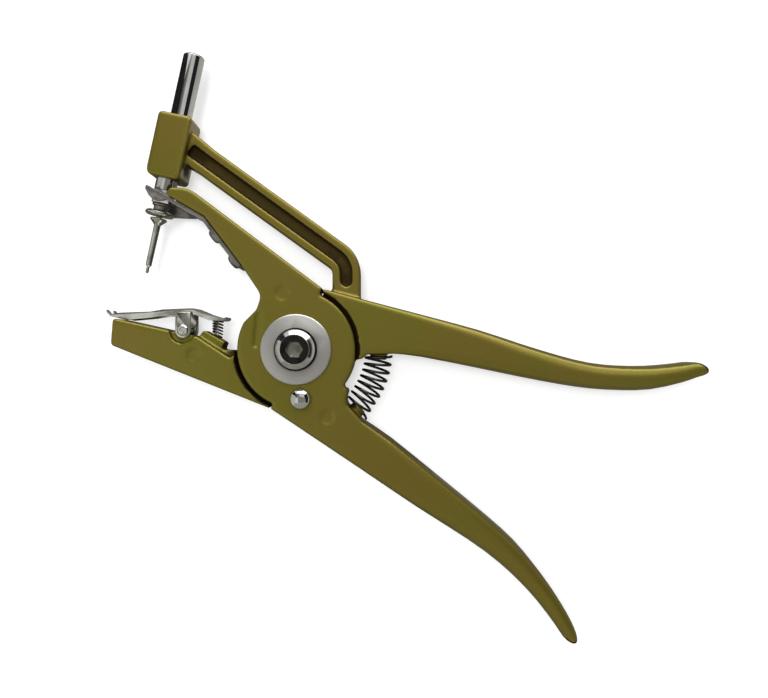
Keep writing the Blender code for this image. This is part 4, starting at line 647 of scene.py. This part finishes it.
def turned_piece(name, axis, profile, materials):
    """Closed piece from rings of (radius in mm, height, material, share of a hexagon) round an axis."""
    centre = Vector(axis)
    corners = [centre + Vector((0, 0, profile[0][1]))]
    for radius, height, _, hexagon in profile[1:-1]:
        for step in range(ROUND_STEPS):
            angle = math.tau * step / ROUND_STEPS
            off_corner = math.tau * (step % HEX_STEPS) / ROUND_STEPS
            flat = math.cos(math.pi / 6) / math.cos(off_corner - math.pi / 6)
            reach = radius * MM * (1 + (flat - 1) * hexagon)
            corners.append(centre + Vector((reach * math.cos(angle), reach * math.sin(angle), height)))
    corners.append(centre + Vector((0, 0, profile[-1][1])))
    faces = []
    paints = []
    rings = len(profile) - 2
    for step in range(ROUND_STEPS):
        after = (step + 1) % ROUND_STEPS
        faces.append((0, 1 + after, 1 + step))
        paints.append(profile[0][2])
        for ring in range(rings - 1):
            low = 1 + ring * ROUND_STEPS
            faces.append((low + step, low + after, low + ROUND_STEPS + after, low + ROUND_STEPS + step))
            paints.append(profile[ring + 1][2])
        last = 1 + (rings - 1) * ROUND_STEPS
        faces.append((last + step, last + after, len(corners) - 1))
        paints.append(profile[-2][2])
    mesh = bpy.data.meshes.new(name)
    mesh.from_pydata([tuple(corner) for corner in corners], [], faces)
    for material in materials:
        mesh.materials.append(material)
    mesh.polygons.foreach_set("material_index", paints)
    mesh.shade_smooth()
    mesh.set_sharp_from_angle(angle=TURNED_ANGLE)
    piece = bpy.data.objects.new(name, mesh)
    bpy.context.scene.collection.objects.link(piece)
    print(name, "has", len(faces), "faces")
    return piece


# %% Bolt of the pivot
bolt_foot, bolt_top = (corner.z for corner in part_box("pivot_bolt"))
BRIGHT, BLACK, PALE = 0, 1, 2

# From the foot of the shank over the head and its bevel to the bottom of the hexagon.
bolt_profile = (
    (0.0, bolt_foot, BLACK, 0),
    (3.8, bolt_foot, BLACK, 0),
    (3.8, bolt_top - 4.60 * MM, BLACK, 0),
    # The black foot ring and the black wall above it are painted shade for the dark gap round the head.
    (8.9, bolt_top - 4.60 * MM, BLACK, 0),
    (8.9, bolt_top - 4.25 * MM, BLACK, 0),
    (8.15, bolt_top - 4.15 * MM, BLACK, 0),
    (8.15, bolt_top - 1.78 * MM, BRIGHT, 0),
    (8.05, bolt_top - 1.66 * MM, BRIGHT, 0),
    (6.30, bolt_top - 0.16 * MM, BRIGHT, 0),
    (6.15, bolt_top - 0.05 * MM, BRIGHT, 0),
    (5.95, bolt_top, BLACK, 0),
    # The pale hexagon is painted light for the light that bounces inside the socket.
    (3.6, bolt_top, PALE, 1),
    (3.4, bolt_top - 0.25 * MM, PALE, 1),
    (3.3, bolt_top - 2.3 * MM, PALE, 1),
    (2.9, bolt_top - 2.5 * MM, PALE, 0),
    (0.0, bolt_top - 2.95 * MM, PALE, 0),
)
turned_bolt = turned_piece("turned_bolt", (0, 0, 0), bolt_profile, bolt_steels)
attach(turned_bolt, "frame")
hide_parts("pivot_bolt")

# %% Rivet of the clip
def upright_axis(low, high):
    """Foot of the line that runs up through the middle of a box."""
    return (low.x + high.x) / 2, (low.y + high.y) / 2, 0


rivet_low, rivet_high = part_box("clip_pin")
# One head with its dish, up to the shank. The other head is the same one upside down.
rivet_profile = [
    (0.0, rivet_low.z + 0.3 * MM, 0, 0),
    (1.0, rivet_low.z + 0.3 * MM, 0, 0),
    (1.25, rivet_low.z, 0, 0),
    (1.85, rivet_low.z, 0, 0),
    (2.25, rivet_low.z + 0.35 * MM, 0, 0),
    (2.25, rivet_low.z + 0.68 * MM, 0, 0),
    (1.48, rivet_low.z + 0.70 * MM, 0, 0),
]
both_ends = rivet_low.z + rivet_high.z
rivet_profile += [(radius, both_ends - height, 0, 0) for radius, height, _, _ in rivet_profile[::-1]]
rivet_axis = upright_axis(rivet_low, rivet_high)
dished_rivet = turned_piece("dished_rivet", rivet_axis, rivet_profile, (nickel_plate,))
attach(dished_rivet, "frame")
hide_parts("clip_pin")

# %% Stop pin with its dome
DOME_STEPS = 14
STEM_RADIUS = 2.2
PIN_RADIUS = 4.4
PIN_WALL = 1.2
PIN_HEAD = 4.0

pin_low, pin_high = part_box("stop_pin")
pin_seat = pin_high.z - PIN_HEAD * MM
pin_profile = [
    (0.0, pin_low.z, 0, 0),
    (STEM_RADIUS, pin_low.z, 0, 0),
    (STEM_RADIUS, pin_seat, 0, 0),
    (PIN_RADIUS, pin_seat, 0, 0),
]
for step in range(DOME_STEPS):
    angle = math.pi / 2 * step / DOME_STEPS
    rise = PIN_WALL + (PIN_HEAD - PIN_WALL) * math.sin(angle)
    pin_profile.append((PIN_RADIUS * math.cos(angle), pin_seat + rise * MM, 0, 0))
pin_profile.append((0.0, pin_high.z, 0, 0))
domed_pin = turned_piece("domed_stop_pin", upright_axis(pin_low, pin_high), pin_profile, (hard_chrome,))
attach(domed_pin, "lever")
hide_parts("stop_pin")

# %% [markdown]
# ## The two springs
#
# A coil is a circle that drifts along a line, so each point of its wire comes from one turn angle and
# one share of the way. The Screw modifier could wind it too, but not along a bent line. The large
# spring lies along an arc round the pivot, from a seat on one handle to a seat on the other, and it is
# wound in black wire. The small one lifts the tail of the clip.

# %% Wire wound along a route
TURN_POINTS = 28
WIRE_ROUNDNESS = 4
WIRE_END_ANGLE = math.radians(50)


def wire(name, points, diameter_mm, material):
    """Round wire through points, as a mesh with closed ends."""
    curve = bpy.data.curves.new(name, "CURVE")
    curve.dimensions = "3D"
    curve.twist_mode = "MINIMUM"
    curve.bevel_depth = diameter_mm / 2 * MM
    curve.bevel_resolution = WIRE_ROUNDNESS
    curve.use_fill_caps = True
    spline = curve.splines.new("POLY")
    spline.points.add(len(points) - 1)
    for target, point in zip(spline.points, points):
        target.co = (*point, 1)
    strand = bpy.data.objects.new(name + "_route", curve)
    bpy.context.scene.collection.objects.link(strand)
    graph = bpy.context.evaluated_depsgraph_get()
    mesh = bpy.data.meshes.new_from_object(strand.evaluated_get(graph))
    bpy.data.objects.remove(strand)
    mesh.materials.clear()
    mesh.materials.append(material)
    mesh.shade_smooth()
    mesh.set_sharp_from_angle(angle=WIRE_END_ANGLE)
    piece = bpy.data.objects.new(name, mesh)
    bpy.context.scene.collection.objects.link(piece)
    return piece


def on_circle(radius, degrees):
    """Point on a circle round the pivot's axis, at the middle of the castings' thickness."""
    angle = math.radians(degrees)
    return Vector((radius * math.cos(angle) * MM, radius * math.sin(angle) * MM, mid_z))


# %% Return spring between the handles
# Lengths in mm and angles in degrees round the pivot.
RETURN_ORBIT = 34.2
RETURN_RADIUS = 6.0
RETURN_WIRE = 1.1
RETURN_TURNS = 8
RETURN_TOP = -2.5
RETURN_FOOT = -47.4
RETURN_DRIFT = 1.4
RETURN_DRIFT_SHARE = 0.25
SEAT_ROOM = 0.3


def return_spring_points():
    """Coil along an arc, whose last turns drift outwards to the seat of the lower handle."""
    lift = RETURN_WIRE / 2 + SEAT_ROOM
    spare = math.degrees(lift / (RETURN_ORBIT - RETURN_RADIUS))
    start = RETURN_TOP - spare
    end = RETURN_FOOT + spare
    coil = RETURN_RADIUS - RETURN_WIRE / 2
    points = []
    for index in range(RETURN_TURNS * TURN_POINTS + 1):
        share = index / (RETURN_TURNS * TURN_POINTS)
        turn = math.tau * index / TURN_POINTS
        late = max(share - 1 + RETURN_DRIFT_SHARE, 0) / RETURN_DRIFT_SHARE
        orbit = RETURN_ORBIT + RETURN_DRIFT * late * late
        point = on_circle(orbit + coil * math.cos(turn), start + (end - start) * share)
        point.z += coil * math.sin(turn) * MM
        points.append(point)
    return points


return_spring = wire("return_spring", return_spring_points(), RETURN_WIRE, blackened_wire)
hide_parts("main_spring")
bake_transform(return_spring)
print("return spring faces:", len(return_spring.data.polygons))

# %% Small spring under the clip's tail
# Lengths and places in mm, slopes in degrees. The foot of the coil sits on a boss of the casting and
# its head under the clip's tail.
LIFT_RADIUS = 2.5
LIFT_WIRE = 0.7
LIFT_TURNS = 5
LIFT_FOOT = (-34.5672, 5.5983)
LIFT_FOOT_SLOPE = -29.7
LIFT_HEAD = (-33.8028, 12.8797)
LIFT_HEAD_SLOPE = -16.631


def leaning(degrees):
    """Unit vectors along a slope and square to it, in the plane of the castings."""
    angle = math.radians(degrees)
    along = Vector((math.cos(angle), math.sin(angle), 0))
    return along, Vector((-along.y, along.x, 0))


def clip_spring_points():
    """Coil whose first turn lies flat on the casting's boss and whose last lies flat on the tail."""
    lift = (LIFT_WIRE / 2 + SEAT_ROOM) * MM
    start = Vector((LIFT_FOOT[0] * MM, LIFT_FOOT[1] * MM, mid_z))
    start += leaning(LIFT_FOOT_SLOPE)[1] * lift
    end = Vector((LIFT_HEAD[0] * MM, LIFT_HEAD[1] * MM, mid_z))
    end -= leaning(LIFT_HEAD_SLOPE)[1] * lift
    coil = (LIFT_RADIUS - LIFT_WIRE / 2) * MM
    points = []
    for index in range(LIFT_TURNS * TURN_POINTS + 1):
        share = index / (LIFT_TURNS * TURN_POINTS)
        turn = math.tau * index / TURN_POINTS
        side = leaning(LIFT_FOOT_SLOPE + (LIFT_HEAD_SLOPE - LIFT_FOOT_SLOPE) * share)[0]
        point = start.lerp(end, share) + side * coil * math.cos(turn)
        point.z += coil * math.sin(turn)
        points.append(point)
    return points


lift_spring = wire("lift_spring", clip_spring_points(), LIFT_WIRE, bright_wire)
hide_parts("clip_spring")
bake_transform(lift_spring)
print("lift spring faces:", len(lift_spring.data.polygons))

# %% [markdown]
# ## White table
#
# The photograph shows the tool lying on pure white, with a thin soft shadow along its right-hand edges.
# A floor that is only painted white would come out a little grey, and one that only glows would show
# no shadow. So this floor is part paint and part glow, added together: the paint keeps the shadow, and
# the glow, which only the camera and mirrors see, lifts the rest to white and sends no light to the
# tool. The floor is a wide disc at the tool's lowest point. From underneath it is clear, so that the
# back of the tool can be looked at.

# %% Floor that stays white and keeps the shadow
FLOOR_RADIUS = 700 * MM
FLOOR_SIDES = 64
FLOOR_GLOW = 0.58
FLOOR_PAINT = 0.56
PURE_WHITE = (1.0, 1.0, 1.0, 1.0)

table_z = cad_box[0][2]
floor_mesh = bpy.data.meshes.new("white_table")
rim = []
for step in range(FLOOR_SIDES):
    angle = math.tau * step / FLOOR_SIDES
    rim.append((FLOOR_RADIUS * math.cos(angle), FLOOR_RADIUS * math.sin(angle), table_z))
floor_mesh.from_pydata(rim, [], [range(FLOOR_SIDES)])
white_table = bpy.data.objects.new("white_table", floor_mesh)
bpy.context.scene.collection.objects.link(white_table)
table_white = bpy.data.materials.new("table_white")
table_white.use_nodes = True
tree = table_white.node_tree
tree.nodes.clear()
matt_grey = (FLOOR_PAINT, FLOOR_PAINT, FLOOR_PAINT, 1.0)
paint = add_node(tree, "ShaderNodeBsdfDiffuse", {"Color": matt_grey})
ray = add_node(tree, "ShaderNodeLightPath")
seen = add_node(
    tree,
    "ShaderNodeMath",
    {"operation": "MAXIMUM"},
    {0: ray.outputs["Is Camera Ray"], 1: ray.outputs["Is Glossy Ray"]},
)
strength = add_node(
    tree,
    "ShaderNodeMath",
    {"operation": "MULTIPLY", 1: FLOOR_GLOW},
    {0: seen.outputs["Value"]},
)
glow = add_node(
    tree,
    "ShaderNodeEmission",
    {"Color": PURE_WHITE},
    {"Strength": strength.outputs["Value"]},
)
both = add_node(
    tree,
    "ShaderNodeAddShader",
    links={0: paint.outputs["BSDF"], 1: glow.outputs["Emission"]},
)
side = add_node(tree, "ShaderNodeNewGeometry")
unseen = add_node(tree, "ShaderNodeBsdfTransparent")
shown = add_node(
    tree,
    "ShaderNodeMixShader",
    links={"Fac": side.outputs["Backfacing"], 1: both.outputs["Shader"], 2: unseen.outputs["BSDF"]},
)
add_node(tree, "ShaderNodeOutputMaterial", links={"Surface": shown.outputs["Shader"]})
floor_mesh.materials.append(table_white)
print("table at mm:", round(table_z / MM, 2))

# %% [markdown]
# ## Pale room
#
# A product is often photographed inside a white tent, which lights it softly from all sides. The world
# stands for the tent. It lights the tool at a low, plain level, while the camera, mirrors and glass see
# it as full white. An HDR picture of a studio would do the same, but a plain value keeps the colours of
# the materials as they are written.

# %% World that lights gently and shows white
ROOM_LIGHT = 0.40
world = bpy.data.worlds.new("pale_room")
bpy.context.scene.world = world
world.use_nodes = True
tree = world.node_tree
tree.nodes.clear()
ray = add_node(tree, "ShaderNodeLightPath")
direct = add_node(
    tree,
    "ShaderNodeMath",
    {"operation": "MAXIMUM"},
    {0: ray.outputs["Is Camera Ray"], 1: ray.outputs["Is Glossy Ray"]},
)
either = add_node(
    tree,
    "ShaderNodeMath",
    {"operation": "MAXIMUM"},
    {0: direct.outputs["Value"], 1: ray.outputs["Is Transmission Ray"]},
)
strength = add_node(
    tree,
    "ShaderNodeMapRange",
    {"To Min": ROOM_LIGHT, "To Max": 1.0},
    {"Value": either.outputs["Value"]},
)
sky = add_node(
    tree,
    "ShaderNodeBackground",
    {"Color": PURE_WHITE},
    {"Strength": strength.outputs["Result"]},
)
add_node(tree, "ShaderNodeOutputWorld", links={"Surface": sky.outputs["Background"]})

# %% [markdown]
# ## What polished steel sees
#
# Steel that sees only white has no shape: its bands and dark rims are pictures of the room. So the room
# is built from flat cards that only reflections see, and that neither light the tool nor shade it.
# Their places come from the bands in the rod and in the bolt's bevel. They are dark and pale walls, a
# grey ceiling with a lighter strip that fades to the left, a bright window beyond the top of the
# picture, and a table that is darker on the left, with two cards beside the rod. A picture of a room
# on the world would be easier to swap, but cards can be shifted one by one until a band sits right.

# %% Helpers for the cards
def card_paint(name, hex_colour, strength=1.0):
    """Plain tone that a card shows to a mirror."""
    material = bpy.data.materials.new(name)
    material.use_nodes = True
    tree = material.node_tree
    tree.nodes.clear()
    tone = add_node(tree, "ShaderNodeEmission", {"Color": linear(hex_colour), "Strength": strength})
    add_node(tree, "ShaderNodeOutputMaterial", links={"Surface": tone.outputs["Emission"]})
    return material


def card(name, material, corners_mm):
    """Flat card through its corners, which shows in reflections alone."""
    mesh = bpy.data.meshes.new(name)
    mesh.from_pydata([tuple(Vector(corner) * MM) for corner in corners_mm], [], [range(len(corners_mm))])
    mesh.materials.append(material)
    piece = bpy.data.objects.new(name, mesh)
    bpy.context.scene.collection.objects.link(piece)
    piece.visible_camera = False
    piece.visible_diffuse = False
    piece.visible_transmission = False
    piece.visible_shadow = False


def level(west, east, south, north, height):
    """Corners of a card that lies flat at a height."""
    return [(west, south, height), (east, south, height), (east, north, height), (west, north, height)]


def upright(start, end, low, high):
    """Corners of a standing card over a line on the table."""
    return [(*start, low), (*end, low), (*end, high), (*start, high)]


ROD_CROSSING = (-57.12, 64.78)
ROD_LEAN = math.radians(12.4)


def beside_rod(places, height):
    """Corners given by their distances along the plunger's line and to the right of it."""
    return [
        (
            ROD_CROSSING[0] + up * math.sin(ROD_LEAN) + right * math.cos(ROD_LEAN),
            ROD_CROSSING[1] + up * math.cos(ROD_LEAN) - right * math.sin(ROD_LEAN),
            height,
        )
        for up, right in places
    ]


# %% Tones of the cards
card_black = card_paint("card_black", "#262627")
card_dim = card_paint("card_dim", "#5A5957")
card_grey = card_paint("card_grey", "#8A8884")
card_pale = card_paint("card_pale", "#A09F99")
card_light = card_paint("card_light", "#C4C3BD")
card_table = card_paint("card_table", "#63615A")
card_strip = card_paint("card_strip", "#DCDCD8")
card_bright = card_paint("card_bright", "#FFFFFF", 3.8)

# %% Ceiling cards
# Places are in mm from the pivot, +x to the right and +y to the top of the picture. A card hangs a
# little lower than the one that it covers.
CEILING = 500
WEST, EAST, SOUTH, NORTH = -330, 450, -300, 420
BEND = (302, 80, CEILING)
EAST_END = (EAST, -40, CEILING)
STRIP_START = 222
strip = [(WEST, STRIP_START), BEND[:2], (BEND[0], NORTH), (WEST, NORTH)]
card(
    "card_ceiling",
    card_grey,
    [(WEST, SOUTH, CEILING), (EAST, SOUTH, CEILING), EAST_END, BEND, (WEST, STRIP_START, CEILING)],
)
card(
    "card_ceiling_right",
    card_black,
    [(EAST, NORTH, CEILING), (BEND[0], NORTH, CEILING), BEND, EAST_END],
)
card("card_ceiling_left", card_strip, level(WEST, -130, SOUTH, 60, CEILING - 1))
card("card_strip", card_strip, [(*corner, CEILING + 5) for corner in strip])
card("card_strip_shade_0", card_dim, level(WEST, -190, 110, NORTH, CEILING - 3))
card("card_strip_shade_1", card_grey, level(-190, -60, 110, NORTH, CEILING - 3))

# %% Wall and table cards
TABLE = table_z / MM
RIGHT_SPLIT = 110
FRONT = -310
LEFT = -340
card("card_right", card_black, upright((EAST, FRONT), (EAST, NORTH), RIGHT_SPLIT, CEILING))
card("card_right_low", card_light, upright((EAST, FRONT), (EAST, NORTH), TABLE, RIGHT_SPLIT))
card("card_upper_left", card_black, upright((WEST, 165), (WEST, 390), TABLE, CEILING))
card("card_left", card_light, upright((LEFT, FRONT), (LEFT, 150), TABLE, CEILING))
card("card_front", card_pale, upright((LEFT, FRONT), (440, FRONT), TABLE, CEILING))
card("card_window", card_bright, upright((-230, 520), (640, 520), 20, CEILING))
card("card_table_left", card_table, level(LEFT, 60, FRONT, 520, TABLE + 0.2))
card("card_table_right", card_grey, level(60, 700, FRONT, 520, TABLE + 0.2))
rod_left = ((8, -2.5), (75, -2.5), (170, -300), (40, -300))
rod_right = ((8, 1), (75, 1), (150, 200), (40, 200))
card("card_rod_left", card_black, beside_rod(rod_left, TABLE + 0.3))
card("card_rod_right", card_light, beside_rod(rod_right, TABLE + 0.3))

# %% [markdown]
# ## Lamps
#
# Two large soft lamps, one beyond the upper left of the picture and one high overhead, shade the tool
# gently and give the thin shadow. Small lamps would draw hard shadows. Reflections don't see these two,
# because the window card stands for them there.

# %% Two soft lamps
AIM_MM = (20, 0, 20)


def soft_lamp(name, place_mm, size_mm, watts):
    """Square lamp that faces the tool and that no reflection sees."""
    light = bpy.data.lights.new(name, "AREA")
    light.shape = "SQUARE"
    light.size = size_mm * MM
    light.energy = watts
    lamp = bpy.data.objects.new(name, light)
    bpy.context.scene.collection.objects.link(lamp)
    lamp.location = Vector(place_mm) * MM
    lamp.rotation_euler = (lamp.location - Vector(AIM_MM) * MM).to_track_quat("Z", "Y").to_euler()
    lamp.visible_glossy = False
    print(name, watts, "W")


soft_lamp("key_lamp", (-250, 580, 830), 560, 3.0)
soft_lamp("overhead_lamp", (-100, 130, 1390), 360, 10.0)

# %% [markdown]
# ## Finish
#
# The last step prints the size of the whole object at the start and sets the plain Standard view, so
# that colours come out as written.

# %% Start size and view
def plain(box):
    """Both corners of a box as plain lists."""
    return [[float(value) for value in corner] for corner in box]


bpy.context.scene.view_settings.view_transform = "Standard"
print("cad box:", plain(cad_box))
